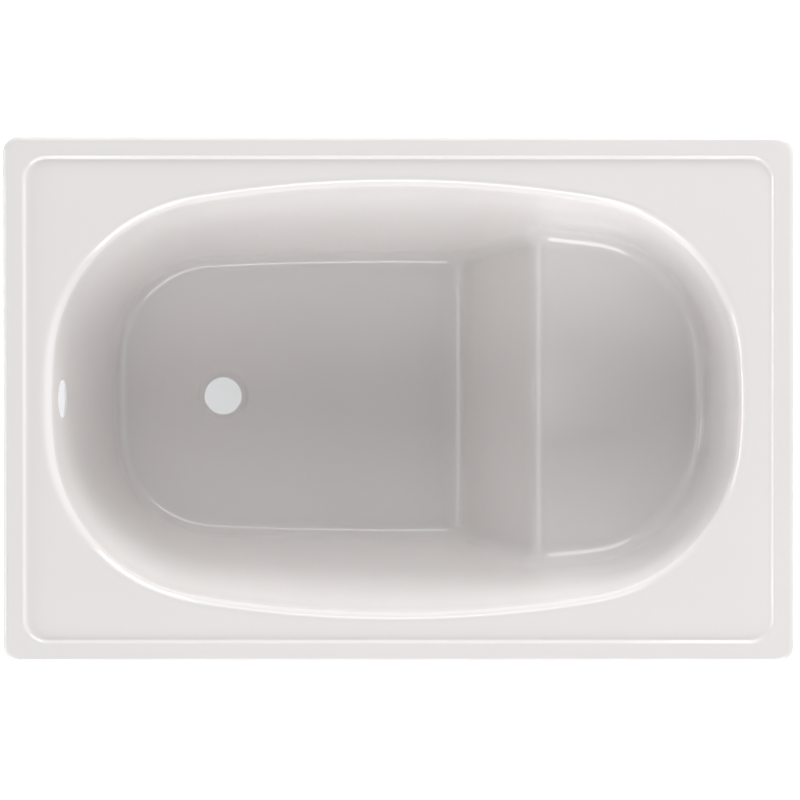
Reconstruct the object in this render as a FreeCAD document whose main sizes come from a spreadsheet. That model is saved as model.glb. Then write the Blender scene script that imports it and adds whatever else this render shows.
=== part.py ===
import FreeCAD, Part

import math
import os

import Sketcher

# Steel step-seat bath, enamelled, on an adjustable leg set. Millimetres.
# X runs along the bath from the waste end (-X) to the seat end (+X), Y across it, Z up.
# The origin is on the ground under the middle of the rim.

SIZES = (
    ("bath_length", 1050, "over the rim, along X"),
    ("bath_width", 700, "over the rim, along Y"),
    ("bath_height", 560, "rim top above the ground"),
    ("wall", 2.4, "steel sheet with enamel on both sides"),

    ("lip_width", 28, "raised band round the rim"),
    ("lip_rise", 4, "band above the deck"),
    ("rim_corner_radius", 22, "outer corners of the rim"),
    ("lip_corner_radius", 30, "inner corners of the band"),
    ("rim_edge_radius", 8, "bend from band to skirt"),
    ("lip_bend_share", 0.475, "bends of the step from band to deck, of its rise"),
    ("skirt_drop", 32, "rim turned down"),
    ("skirt_return", 9, "skirt turned in at its lower edge"),

    ("basin_depth", 385, "rim top to foot well"),
    ("seat_height", 150, "seat above foot well"),
    ("foot_end_deck", 53, "rim edge to mouth at the waste end"),
    ("back_end_deck", 60, "rim edge to mouth at the seat end"),
    ("side_deck", 54, "rim edge to mouth at either side"),
    ("mouth_side_share", 0.235, "mouth, how far its long arcs fall back, of its half width"),
    ("mouth_corner_share", 0.79, "mouth, radius of its corners, of its half width"),
    ("mouth_end_share", 0.195, "mouth, how far its end arcs fall back, of its half width"),
    ("mouth_bend_radius", 12, "bend from deck into basin"),

    ("side_wall_run", 89, "side walls, mouth to base, measured level"),
    ("foot_wall_run", 77, "wall at the waste end, the same way"),
    ("back_wall_run", 68, "wall at the seat end, the same way"),
    ("foot_side_share", 0.067, "foot well, its sides, the same way"),
    ("foot_corner_share", 0.70, "foot well, its corners, the same way"),
    ("foot_end_share", 0.148, "foot well, its end, the same way"),
    ("back_side_share", 0.40, "base below the seat, its sides, the same way"),
    ("back_corner_share", 0.735, "base below the seat, its corners, the same way"),
    ("back_end_share", 0.1725, "base below the seat, its end, the same way"),
    ("riser_share", 0.227, "foot of the riser, of the way to the back wall"),
    ("nosing_share", 0.48, "front edge of the seat, of the way to the back wall"),
    ("riser_bend_radius", 60, "bend from foot well to riser"),
    ("nosing_bend_radius", 45, "bend from riser to seat"),
    ("bottom_bend_radius", 30, "bend from walls to foot well and seat"),

    ("waste_share", 0.625, "waste hole, of the way to the waste end's wall"),
    ("waste_hole_radius", 26, "waste hole"),
    ("waste_seat_radius", 31.5, "flat land that the waste flange sits on"),
    ("waste_dish_radius", 36, "dished ring round the land"),
    ("waste_dish_depth", 3.5, "land below the foot well"),
    ("overflow_hole_radius", 26, "overflow hole"),
    ("overflow_drop", 80, "rim top to overflow hole"),

    ("mat_thickness", 3, "sound-deadening mats"),
    ("mat_corner_radius", 20, "corners of the mats"),
    ("mat_gap", 15, "mats to the pieces beside them"),
    ("waste_mat_inset", 58, "mat round the waste, inside the end wall's base"),
    ("waste_mat_half_width", 100, "mat round the waste, along Y"),
    ("waste_mat_hole_radius", 40, "hole for the waste's nut"),
    ("floor_mat_half_width", 130, "mat beside the riser, along Y"),
    ("riser_mat_length", 84, "mat on the riser, along its slope"),
    ("riser_mat_half_width", 130, "mat on the riser, along Y"),
    ("seat_mat_inset", 15, "mat under the seat, inside the back wall's base"),
    ("seat_mat_half_width", 95, "mat under the seat, along Y"),

    ("drain_rail_share", 0.355, "rail under the foot well, of the way to the waste end's wall"),
    ("seat_rail_share", 0.66, "rail under the seat, of the way to the back wall"),
    ("bracket_inset", 57, "ends of the hat brackets, inside the foot well's sides"),
    ("bracket_half_width", 25, "hat brackets over their flanges"),
    ("bracket_web_half_width", 13, "hat brackets over their webs"),
    ("bracket_height", 16, "hat brackets"),
    ("bracket_wall", 2, "hat bracket sheet"),
    ("rail_spare", 25, "rails past the legs"),
    ("rail_half_width", 20, "rails, along X"),
    ("rail_height", 25, "rails"),
    ("rail_wall", 2, "rail sheet"),
    ("rail_bend_radius", 3.5, "outside bends of the rails"),
    ("stud_inset", 40, "weld studs, inside the ends of the brackets"),
    ("stud_radius", 4, "M8 weld studs"),
    ("stud_length", 18, "M8 weld studs below the bracket"),
    ("stud_hole_radius", 4.5, "holes for the weld studs"),
    ("stud_nut_flats", 13, "M8 nuts"),
    ("stud_nut_height", 6.5, "M8 nuts"),
    ("washer_radius", 8, "M8 washers"),
    ("washer_thickness", 1.6, "M8 washers"),

    ("upright_half_width", 12.5, "square tubes below the seat rail"),
    ("upright_wall", 1.5, "square tubes"),
    ("upright_corner_radius", 3, "square tubes"),
    ("end_plate_half_width", 16, "plates closing the tubes"),
    ("end_plate_thickness", 4, "plates closing the tubes"),

    ("leg_outset", 28, "legs, outside the foot well's sides"),
    ("leg_hole_radius", 5.6, "holes for the leg screws"),
    ("leg_nut_flats", 17, "M10 welded nuts"),
    ("leg_nut_height", 8, "M10 welded nuts"),
    ("lock_nut_height", 6, "M10 lock nuts"),
    ("screw_radius", 5, "M10 leg screws"),
    ("screw_spare", 40, "M10 leg screws above the rail under the foot well"),
    ("screw_chamfer", 1, "top end of the leg screws"),
    ("thread_clearance", 0.08, "leg screw in its nuts, on the radius"),
    ("collar_base", 22, "spanner collar above the screw's lower end"),
    ("collar_height", 8, "spanner collar"),
    ("disc_radius", 7, "disc that is held in the foot"),
    ("disc_thickness", 4, "disc that is held in the foot"),
    ("neck_radius", 4, "screw between disc and shank"),
    ("neck_length", 4, "screw between disc and shank"),

    ("foot_radius", 25, "moulded feet, base"),
    ("foot_base_height", 6, "moulded feet, base"),
    ("foot_height", 30, "moulded feet"),
    ("foot_neck_radius", 11, "moulded feet, socket"),
    ("foot_flare", 7, "moulded feet, flare between base and socket"),
    ("foot_edge", 1.5, "moulded feet, chamfer round the base"),
    ("socket_floor", 12, "ground to the seat of the screw's disc"),
    ("socket_clearance", 0.3, "screw in the foot"),
    ("rib_count", 6, "ribs of a foot"),
    ("rib_thickness", 2.5, "ribs of a foot"),
    ("rib_reach", 22, "ribs of a foot, from the axis"),
    ("rib_height", 24, "ribs of a foot, from the ground"),

    ("tab_inset", 65, "earthing tab, before the foot of the riser"),
    ("tab_wall", 2, "earthing tab sheet"),
    ("tab_flange", 18, "earthing tab, welded flange"),
    ("tab_drop", 32, "earthing tab below the foot well"),
    ("tab_half_width", 10, "earthing tab along Y"),
    ("tab_bend_radius", 2.5, "earthing tab, outside bend"),
    ("tab_hole_drop", 20, "earthing tab, its hole below the foot well"),
    ("tab_hole_radius", 3.3, "earthing tab, its hole"),
    ("earth_bolt_radius", 3, "M6 bolt"),
    ("earth_bolt_spare", 3, "M6 bolt past its nut"),
    ("earth_head_height", 4, "M6 bolt head"),
    ("earth_nut_flats", 10, "M6 nut and bolt head"),
    ("earth_nut_height", 5, "M6 nut"),
    ("earth_washer_radius", 6, "M6 washers"),
    ("earth_washer_thickness", 1.6, "M6 washers"),
    ("earth_clearance", 0.15, "M6 bolt in its washers and nut, on the radius"),

    ("overrun", 5, "cuts past the faces they open"),
)

# Levels and places that several pieces share, as expressions over the sheet.
DECK = "(Sizes.bath_height - Sizes.lip_rise)"
FLOOR = "(Sizes.bath_height - Sizes.basin_depth)"
SEAT = f"({FLOOR} + Sizes.seat_height)"
FLOOR_UNDER = f"({FLOOR} - Sizes.wall)"
SEAT_UNDER = f"({SEAT} - Sizes.wall)"
SKIRT_EDGE = "(Sizes.bath_height - Sizes.skirt_drop)"
DRAIN_RAIL_TOP = f"({FLOOR_UNDER} - Sizes.bracket_height)"
SEAT_RAIL_TOP = f"({SEAT_UNDER} - Sizes.bracket_height)"
LOCK_TOP = f"({DRAIN_RAIL_TOP} - Sizes.rail_wall - Sizes.leg_nut_height)"
END_PLATE_TOP = f"({LOCK_TOP} + Sizes.end_plate_thickness)"
SCREW_LENGTH = f"({DRAIN_RAIL_TOP} + Sizes.screw_spare - Sizes.socket_floor)"
OVERFLOW_LEVEL = "(Sizes.bath_height - Sizes.overflow_drop)"

# The mouth follows the rim, and the base of the walls follows the mouth.
MOUTH_MIDDLE = "((Sizes.foot_end_deck - Sizes.back_end_deck) / 2)"
MOUTH_REACH = "((Sizes.bath_length - Sizes.foot_end_deck - Sizes.back_end_deck) / 2)"
MOUTH_HALF_WIDTH = "(Sizes.bath_width / 2 - Sizes.side_deck)"
BASE_HALF_WIDTH = f"({MOUTH_HALF_WIDTH} - Sizes.side_wall_run)"
FOOT_REACH = f"({MOUTH_REACH} - {MOUTH_MIDDLE} - Sizes.foot_wall_run)"
BACK_REACH = f"({MOUTH_REACH} + {MOUTH_MIDDLE} - Sizes.back_wall_run)"
FOOT_WALL_LEAN = f"atan(Sizes.foot_wall_run / ({DECK} - {FLOOR}))"
OVERFLOW_X = f"({MOUTH_MIDDLE} - {MOUTH_REACH} + ({DECK} - {OVERFLOW_LEVEL}) * tan({FOOT_WALL_LEAN}))"

# What stands on the base or hangs under it follows the base.
RISER_FOOT = f"(Sizes.riser_share * {BACK_REACH})"
NOSING = f"(Sizes.nosing_share * {BACK_REACH})"
RISER_SLOPE = f"atan(Sizes.seat_height / ({NOSING} - {RISER_FOOT}))"
WASTE_X = f"(-Sizes.waste_share * {FOOT_REACH})"
DRAIN_RAIL_X = f"(-Sizes.drain_rail_share * {FOOT_REACH})"
SEAT_RAIL_X = f"(Sizes.seat_rail_share * {BACK_REACH})"
TAB_X = f"({RISER_FOOT} - Sizes.tab_inset)"
BRACKET_HALF_LENGTH = f"({BASE_HALF_WIDTH} - Sizes.bracket_inset)"
STUD_SPREAD = f"({BRACKET_HALF_LENGTH} - Sizes.stud_inset)"
LEG_SPREAD = f"({BASE_HALF_WIDTH} + Sizes.leg_outset)"
RAIL_HALF_LENGTH = f"({LEG_SPREAD} + Sizes.rail_spare)"
MAT_MARGIN = "(Sizes.bracket_half_width + Sizes.mat_gap)"

HEXAGON_SIDES = 6
CLOSE = 1e-3  # how near an edge lies to the place where it is looked for

os.makedirs("parts", exist_ok=True)
doc = FreeCAD.newDocument("step_seat_bath")
sheet = doc.addObject("Spreadsheet::Sheet", "Sizes")
for row, (alias, value, meaning) in enumerate(SIZES, start=1):
    sheet.set(f"A{row}", meaning)
    sheet.set(f"B{row}", str(value))
    sheet.setAlias(f"B{row}", alias)
doc.recompute()
sub_parts = []


def worth(expression):
    """Number that an expression over the sheet has now."""
    result = sheet.evalExpression(expression)
    return float(getattr(result, "Value", result))


def grown(size, growth):
    return f"({size} + {growth})"


# Bodies, sketches and features

def new_body(label):
    body = doc.addObject("PartDesign::Body", label)
    body.Label = label
    return body


def finished(body):
    sub_parts.append(body)
    return body


def origin_plane(body, role):
    return next(item for item in body.Origin.OriginFeatures if item.Role == role)


def new_sketch(body, label, role="XY_Plane", lift=None):
    sketch = body.newObject("Sketcher::SketchObject", label)
    sketch.AttachmentSupport = [(origin_plane(body, role), "")]
    sketch.MapMode = "FlatFace"
    if lift is not None:
        sketch.setExpression("AttachmentOffset.Base.z", lift)
    return sketch


def bind(sketch, kind, *where, to):
    """Add a dimension to a sketch and tie it to an expression."""
    index = sketch.addConstraint(Sketcher.Constraint(kind, *where, worth(to)))
    sketch.setExpression(f"Constraints[{index}]", to)


def relate(sketch, kind, *where):
    sketch.addConstraint(Sketcher.Constraint(kind, *where))


def locate(sketch, geometry, point, x, y):
    """Fix a point of a sketch at two expressions, measured from the sketch's origin."""
    bind(sketch, "DistanceX", -1, 1, geometry, point, to=x)
    bind(sketch, "DistanceY", -1, 1, geometry, point, to=y)


def spot(x, y):
    return FreeCAD.Vector(worth(x), worth(y), 0)


def arc(centre, radius, start, stop):
    circle = Part.Circle(centre, FreeCAD.Vector(0, 0, 1), radius)
    return Part.ArcOfCircle(circle, start, stop)


def outline(sketch, points):
    """Closed outline of straight runs through points given as pairs of expressions."""
    places = [spot(x, y) for x, y in points]
    first = sketch.GeometryCount
    count = len(points)
    for number, place in enumerate(places):
        sketch.addGeometry(Part.LineSegment(place, places[(number + 1) % count]), False)
    for number, (x, y) in enumerate(points):
        relate(sketch, "Coincident", first + number, 2, first + (number + 1) % count, 1)
        locate(sketch, first + number, 1, x, y)


def round_hole(sketch, x, y, radius):
    """Circle of a sketch, its centre and radius given as expressions."""
    centre = spot(x, y)
    number = sketch.addGeometry(Part.Circle(centre, FreeCAD.Vector(0, 0, 1), worth(radius)), False)
    locate(sketch, number, 3, x, y)
    bind(sketch, "Radius", number, to=radius)


def hexagon(sketch, x, y, flats):
    """Regular hexagon of a sketch, given by its middle and its width across flats."""
    centre = spot(x, y)
    corner_radius = f"({flats}) / sqrt(3)"
    reach = worth(corner_radius)
    turns = [math.tau * corner / HEXAGON_SIDES for corner in range(HEXAGON_SIDES + 1)]
    corners = [centre + reach * FreeCAD.Vector(math.cos(turn), math.sin(turn), 0) for turn in turns]
    first = sketch.GeometryCount
    for start, stop in zip(corners, corners[1:]):
        sketch.addGeometry(Part.LineSegment(start, stop), False)
    guide = sketch.addGeometry(Part.Circle(centre, FreeCAD.Vector(0, 0, 1), reach), True)
    for side in range(HEXAGON_SIDES):
        relate(sketch, "Coincident", first + side, 2, first + (side + 1) % HEXAGON_SIDES, 1)
        relate(sketch, "PointOnObject", first + side, 1, guide)
        if side:
            relate(sketch, "Equal", first, first + side)
    relate(sketch, "Horizontal", first + 1)
    locate(sketch, guide, 3, x, y)
    bind(sketch, "Radius", guide, to=corner_radius)


def rounded_box(sketch, x, y, half_length, half_width, radius):
    """Rectangle with round corners, given by its middle, its two half sizes and its corner radius."""
    middle = spot(x, y)
    bend = worth(radius)
    right, top = worth(half_length), worth(half_width)
    first = sketch.GeometryCount
    quarter = math.pi / 2
    signs = ((1, 1), (-1, 1), (-1, -1), (1, -1))
    corners = len(signs)
    centres = [middle + FreeCAD.Vector(sx * (right - bend), sy * (top - bend), 0) for sx, sy in signs]
    arcs = [arc(centre, bend, turn * quarter, (turn + 1) * quarter) for turn, centre in enumerate(centres)]
    for number, corner in enumerate(arcs):
        sketch.addGeometry(corner, False)
        sketch.addGeometry(Part.LineSegment(corner.EndPoint, arcs[(number + 1) % corners].StartPoint), False)
    for number in range(corners):
        corner, side = first + 2 * number, first + 2 * number + 1
        following = first + 2 * ((number + 1) % corners)
        relate(sketch, "Tangent", corner, 2, side, 1)
        relate(sketch, "Tangent", side, 2, following, 1)
        relate(sketch, "Horizontal" if number % 2 == 0 else "Vertical", side)
        if number:
            relate(sketch, "Equal", first, corner)
    bind(sketch, "Radius", first, to=radius)
    locate(sketch, first, 3, f"{x} + ({half_length}) - ({radius})", f"{y} + ({half_width}) - ({radius})")
    opposite = first + corners
    locate(sketch, opposite, 3, f"{x} - ({half_length}) + ({radius})", f"{y} - ({half_width}) + ({radius})")


def quadrant(reach, half_width, side, corner, end):
    """Middle of the corner arc that runs on from a side arc into an end arc, and its two end angles."""
    side_centre = FreeCAD.Vector(0, half_width - side, 0)
    end_centre = FreeCAD.Vector(reach - end, 0, 0)
    apart = end_centre - side_centre
    from_side, from_end = side - corner, end - corner
    along = (apart.Length**2 + from_side**2 - from_end**2) / (2 * apart.Length)
    across = math.sqrt(from_side**2 - along**2)
    step = apart / apart.Length
    centre = side_centre + along * step + across * FreeCAD.Vector(step.y, -step.x, 0)
    to_side = centre - side_centre
    to_end = centre - end_centre
    return centre, math.atan2(to_side.y, to_side.x), math.atan2(to_end.y, to_end.x)


def oval(sketch, middle, half_width, foot, back):
    """Oval of ten arcs that run on tangentially, symmetric in Y.

    foot and back are the sizes of the -X half and the +X half, as expressions:
    reach from the middle, side radius, corner radius and end radius.
    """
    centre_x, top = worth(middle), worth(half_width)
    foot_reach, foot_side, foot_corner, foot_end = (worth(item) for item in foot)
    back_reach, back_side, back_corner, back_end = (worth(item) for item in back)
    foot_bend, foot_high, foot_low = quadrant(foot_reach, top, foot_side, foot_corner, foot_end)
    back_bend, back_high, back_low = quadrant(back_reach, top, back_side, back_corner, back_end)

    def at(x, y):
        return FreeCAD.Vector(centre_x + x, y, 0)

    half, full = math.pi, math.tau
    arcs = [
        arc(at(back_reach - back_end, 0), back_end, -back_low, back_low),
        arc(at(back_bend.x, back_bend.y), back_corner, back_low, back_high),
        arc(at(0, top - back_side), back_side, back_high, half / 2),
        arc(at(0, top - foot_side), foot_side, half / 2, half - foot_high),
        arc(at(-foot_bend.x, foot_bend.y), foot_corner, half - foot_high, half - foot_low),
        arc(at(foot_end - foot_reach, 0), foot_end, half - foot_low, half + foot_low),
        arc(at(-foot_bend.x, -foot_bend.y), foot_corner, half + foot_low, half + foot_high),
        arc(at(0, foot_side - top), foot_side, half + foot_high, full - half / 2),
        arc(at(0, back_side - top), back_side, full - half / 2, full - back_high),
        arc(at(back_bend.x, -back_bend.y), back_corner, full - back_high, full - back_low),
    ]
    sketch.addGeometry(arcs, False)
    count = len(arcs)
    for number in range(count):
        relate(sketch, "Tangent", number, 2, (number + 1) % count, 1)
    radii = (back[3], back[2], back[1], foot[1], foot[2], foot[3])
    for number, radius in enumerate(radii):
        bind(sketch, "Radius", number, to=radius)
    back_end_arc, back_side_arc, foot_end_arc = 0, 2, count // 2
    foot_side_below = foot_end_arc + back_side_arc
    for number in range(1, foot_end_arc):
        relate(sketch, "Equal", number, count - number)
    locate(sketch, back_end_arc, 3, f"{middle} + {back[0]} - {back[3]}", "0")
    locate(sketch, foot_end_arc, 3, f"{middle} - {foot[0]} + {foot[3]}", "0")
    for side_arc, height in ((back_side_arc, half_width), (foot_side_below, f"-{half_width}")):
        locate(sketch, side_arc, 2, middle, height)
        bind(sketch, "DistanceX", -1, 1, side_arc, 3, to=middle)


def feature(body, kind, label, **values):
    made = body.newObject(f"PartDesign::{kind}", label)
    for name, value in values.items():
        setattr(made, name, value)
    return made


def pad(body, sketch, length, symmetric=False, downward=False):
    """Pad a sketch by an expression, upwards, downwards or half each way."""
    made = feature(body, "Pad", f"{sketch.Name}_pad", Profile=sketch, Reversed=downward)
    made.SideType = "Symmetric" if symmetric else "One side"
    made.setExpression("Length", length)
    return made


def pocket(body, sketch, depth=None, upward=False):
    """Cut a sketch to a depth given as an expression, or through all when there is none."""
    made = feature(body, "Pocket", f"{sketch.Name}_pocket", Profile=sketch, Reversed=upward)
    if depth is None:
        made.Type = "ThroughAll"
        made.SideType = "Symmetric"
    else:
        made.setExpression("Length", depth)
    return made


def turned(body, sketch):
    """Revolve a sketch on the XZ plane about its own vertical axis."""
    return feature(body, "Revolution", f"{sketch.Name}_turned", Profile=sketch,
                   ReferenceAxis=(sketch, ["V_Axis"]))


def rounded(body, base, radius, chosen):
    """Fillet the edges of a feature that pass a test."""
    doc.recompute()
    names = [f"Edge{number}" for number, edge in enumerate(base.Shape.Edges, start=1) if chosen(edge)]
    made = feature(body, "Fillet", f"{base.Name}_bend", Base=(base, names))
    made.setExpression("Radius", radius)
    return made


def level_at(edge, height):
    """True for an edge that lies level at a height given as an expression."""
    return abs(edge.BoundBox.ZMin - worth(height)) < CLOSE and abs(edge.BoundBox.ZMax - worth(height)) < CLOSE


def is_across_at(edge, x):
    """True for an edge whose middle lies at a place along X given as an expression."""
    return abs(edge.CenterOfMass.x - worth(x)) < CLOSE


def runs_along(edge, direction):
    """True for a straight edge that is parallel to a direction."""
    if not isinstance(edge.Curve, (Part.Line, Part.LineSegment)):
        return False
    return abs(abs(edge.tangentAt(edge.FirstParameter).dot(direction)) - 1) < CLOSE


# The pressing

def oval_half(name, reach, half_width):
    """Reach, side radius, corner radius and end radius of half an oval, from the shares that shape it."""
    side = f"{reach}^2 / (2 * Sizes.{name}_side_share * {half_width})"
    corner = f"Sizes.{name}_corner_share * {half_width}"
    end = f"{half_width} / (2 * Sizes.{name}_end_share)"
    return reach, side, corner, end


MOUTH_HALF = oval_half("mouth", MOUTH_REACH, MOUTH_HALF_WIDTH)
FOOT_HALF = oval_half("foot", FOOT_REACH, BASE_HALF_WIDTH)
BACK_HALF = oval_half("back", BACK_REACH, BASE_HALF_WIDTH)


def basin(label, growth):
    """Solid that fills the basin, grown outwards on all sides by an expression.

    With no growth it is the space inside the bath, and grown by the wall it is the outside of the sheet.
    """
    body = new_body(label)
    mouth_half, foot_half, back_half = (tuple(grown(size, growth) for size in half)
                                        for half in (MOUTH_HALF, FOOT_HALF, BACK_HALF))
    mouth = new_sketch(body, f"{label}_mouth", lift=DECK)
    oval(mouth, MOUTH_MIDDLE, grown(MOUTH_HALF_WIDTH, growth), mouth_half, mouth_half)
    bottom = new_sketch(body, f"{label}_bottom", lift=f"{FLOOR} - {growth}")
    oval(bottom, "0", grown(BASE_HALF_WIDTH, growth), foot_half, back_half)
    doc.recompute()
    feature(body, "AdditiveLoft", f"{label}_walls", Profile=mouth, Sections=[bottom], Ruled=True)

    # The step is what the riser and the seat leave out of the basin.
    shift = f"{growth} * tan({RISER_SLOPE} / 2)"
    riser_foot, nosing = f"{RISER_FOOT} + {shift}", f"{NOSING} + {shift}"
    floor, seat = f"{FLOOR} - {growth}", f"{SEAT} - {growth}"
    far = "Sizes.bath_length"
    deep = f"{floor} - Sizes.overrun"
    step = new_sketch(body, f"{label}_step", "XZ_Plane")
    outline(step, ((riser_foot, floor), (nosing, seat), (far, seat), (far, deep), (riser_foot, deep)))
    stepped = pocket(body, step)
    riser_bent = rounded(body, stepped, f"Sizes.riser_bend_radius + {growth}",
                         lambda edge: level_at(edge, floor) and is_across_at(edge, riser_foot))
    nosing_bent = rounded(body, riser_bent, f"Sizes.nosing_bend_radius - {growth}",
                          lambda edge: level_at(edge, seat) and is_across_at(edge, nosing))
    rounded(body, nosing_bent, f"Sizes.bottom_bend_radius + {growth}",
            lambda edge: level_at(edge, floor) and edge.CenterOfMass.x < 0
            and edge.Curve.TypeId == "Part::GeomCircle")

    # The waste sits in a dish pressed into the foot well.
    dish = new_sketch(body, f"{label}_dish", "XZ_Plane")
    dish.setExpression("AttachmentOffset.Base.x", WASTE_X)
    land = f"{floor} - Sizes.waste_dish_depth"
    top = f"{floor} + Sizes.overrun"
    seat_edge, dish_edge = grown("Sizes.waste_seat_radius", growth), grown("Sizes.waste_dish_radius", growth)
    outline(dish, (("0", land), (seat_edge, land), (dish_edge, floor), (dish_edge, top), ("0", top)))
    turned(body, dish)
    doc.recompute()
    return body


def bath_shell():
    """Enamelled pressing: banded rim with a skirt, basin with a step seat, waste and overflow holes."""
    inside = basin("basin_inside", "0")
    outside = basin("basin_outside", "Sizes.wall")
    body = new_body("bath_shell")
    half_length, half_width = "Sizes.bath_length / 2", "Sizes.bath_width / 2"

    block = new_sketch(body, "rim_block", lift=SKIRT_EDGE)
    rounded_box(block, "0", "0", half_length, half_width, "Sizes.rim_corner_radius")
    raised = pad(body, block, "Sizes.skirt_drop")
    doc.recompute()
    rounded(body, raised, "Sizes.rim_edge_radius", lambda edge: level_at(edge, "Sizes.bath_height"))

    # The deck lies inside the raised band.
    deck = new_sketch(body, "deck", lift=DECK)
    rounded_box(deck, "0", "0", f"{half_length} - Sizes.lip_width", f"{half_width} - Sizes.lip_width",
                "Sizes.lip_corner_radius")
    decked = pocket(body, deck, "Sizes.lip_rise + Sizes.overrun", upward=True)
    doc.recompute()
    band_inside = f"{half_width} - Sizes.lip_width"
    rounded(body, decked, "Sizes.lip_bend_share * Sizes.lip_rise",
            lambda edge: (level_at(edge, DECK) or level_at(edge, "Sizes.bath_height"))
            and abs(edge.CenterOfMass.y) < worth(band_inside) + CLOSE
            and abs(edge.CenterOfMass.x) < worth(f"{half_length} - Sizes.lip_width") + CLOSE)

    # Underside of the deck, the band and the skirt, and the opening inside the skirt's return.
    hollow = new_sketch(body, "rim_hollow", lift=f"{DECK} - Sizes.wall")
    rounded_box(hollow, "0", "0", f"{half_length} - Sizes.wall", f"{half_width} - Sizes.wall",
                "Sizes.rim_corner_radius - Sizes.wall")
    pocket(body, hollow, f"{DECK} - {SKIRT_EDGE} - 2 * Sizes.wall")
    band = new_sketch(body, "band_hollow", lift=f"{DECK} - Sizes.wall")
    rounded_box(band, "0", "0", f"{half_length} - Sizes.wall", f"{half_width} - Sizes.wall",
                "Sizes.rim_corner_radius - Sizes.wall")
    rounded_box(band, "0", "0", f"{half_length} - Sizes.lip_width + Sizes.wall",
                f"{half_width} - Sizes.lip_width + Sizes.wall", "Sizes.lip_corner_radius + Sizes.wall")
    pocket(body, band, "Sizes.lip_rise", upward=True)
    opening = new_sketch(body, "skirt_opening", lift=f"{SKIRT_EDGE} + Sizes.wall")
    rounded_box(opening, "0", "0", f"{half_length} - Sizes.skirt_return", f"{half_width} - Sizes.skirt_return",
                "Sizes.rim_corner_radius - Sizes.skirt_return")
    pocket(body, opening, "Sizes.wall + Sizes.overrun")

    # The basin hangs from the deck: its outside is joined on, bent into the deck, and its inside cut out.
    joined = feature(body, "Boolean", "basin_joined", Type="Fuse")
    joined.setObjects([outside])
    doc.recompute()
    rounded(body, joined, "Sizes.mouth_bend_radius - Sizes.wall",
            lambda edge: level_at(edge, f"{DECK} - Sizes.wall") and on_the_mouth(edge))
    emptied = feature(body, "Boolean", "basin_emptied", Type="Cut")
    emptied.setObjects([inside])
    doc.recompute()
    rounded(body, emptied, "Sizes.mouth_bend_radius", lambda edge: level_at(edge, DECK) and on_the_mouth(edge))

    waste = new_sketch(body, "waste_hole", lift=FLOOR)
    round_hole(waste, WASTE_X, "0", "Sizes.waste_hole_radius")
    pocket(body, waste, "Sizes.waste_dish_depth + Sizes.wall + Sizes.overrun")

    # The overflow hole is square to the foot-end wall.
    overflow = new_sketch(body, "overflow_hole", "YZ_Plane")
    across_bath = FreeCAD.Vector(1, 0, 0)
    overflow.AttachmentOffset = FreeCAD.Placement(FreeCAD.Vector(), FreeCAD.Rotation(across_bath, 1))
    overflow.setExpression("AttachmentOffset.Base.y", OVERFLOW_LEVEL)
    overflow.setExpression("AttachmentOffset.Base.z", OVERFLOW_X)
    overflow.setExpression("AttachmentOffset.Rotation.Angle", f"-{FOOT_WALL_LEAN}")
    round_hole(overflow, "0", "0", "Sizes.overflow_hole_radius")
    drilled = pocket(body, overflow, "2 * (Sizes.wall + Sizes.overrun)")
    drilled.SideType = "Symmetric"
    return finished(body)


def on_the_mouth(edge):
    """True for an edge at the mouth of the basin, not out at the band."""
    middle = edge.CenterOfMass
    return abs(middle.x) < worth(f"{MOUTH_REACH} + Sizes.wall") and \
        abs(middle.y) < worth(f"{MOUTH_HALF_WIDTH} + Sizes.wall + Sizes.overrun")


# Sound-deadening mats

def mat(label, start, stop, half_width, top):
    """Flat mat under a level sheet, between two places along X."""
    body = new_body(label)
    sheet_outline = new_sketch(body, f"{label}_outline", lift=top)
    rounded_box(sheet_outline, f"({start} + {stop}) / 2", "0", f"({stop} - {start}) / 2", half_width,
                "Sizes.mat_corner_radius")
    pad(body, sheet_outline, "Sizes.mat_thickness", downward=True)
    return finished(body)


def waste_mat():
    """Mat round the waste, with a hole for the nut that clamps a waste fitting."""
    body = mat("waste_pad", f"(Sizes.waste_mat_inset - {FOOT_REACH})", f"({DRAIN_RAIL_X} - {MAT_MARGIN})",
               "Sizes.waste_mat_half_width", FLOOR_UNDER)
    doc.recompute()
    hole = new_sketch(body, "waste_pad_hole", lift=FLOOR_UNDER)
    round_hole(hole, WASTE_X, "0", "Sizes.waste_mat_hole_radius")
    pocket(body, hole)


def riser_mat():
    """Mat on the back of the riser, laid along its slope."""
    body = new_body("riser_pad")
    sheet_outline = new_sketch(body, "riser_pad_outline")
    rounded_box(sheet_outline, "0", "0", "Sizes.riser_mat_length / 2", "Sizes.riser_mat_half_width",
                "Sizes.mat_corner_radius")
    pad(body, sheet_outline, "Sizes.mat_thickness", downward=True)
    across_bath = FreeCAD.Vector(0, 1, 0)
    body.Placement = FreeCAD.Placement(FreeCAD.Vector(), FreeCAD.Rotation(across_bath, 1))
    body.setExpression("Placement.Rotation.Angle", f"-{RISER_SLOPE}")
    body.setExpression("Placement.Base.x",
                       f"({RISER_FOOT} + {NOSING}) / 2 + Sizes.wall * sin({RISER_SLOPE})")
    body.setExpression("Placement.Base.z",
                       f"{FLOOR} + Sizes.seat_height / 2 - Sizes.wall * cos({RISER_SLOPE})")
    return finished(body)


# Brackets, rails and their fasteners

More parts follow.
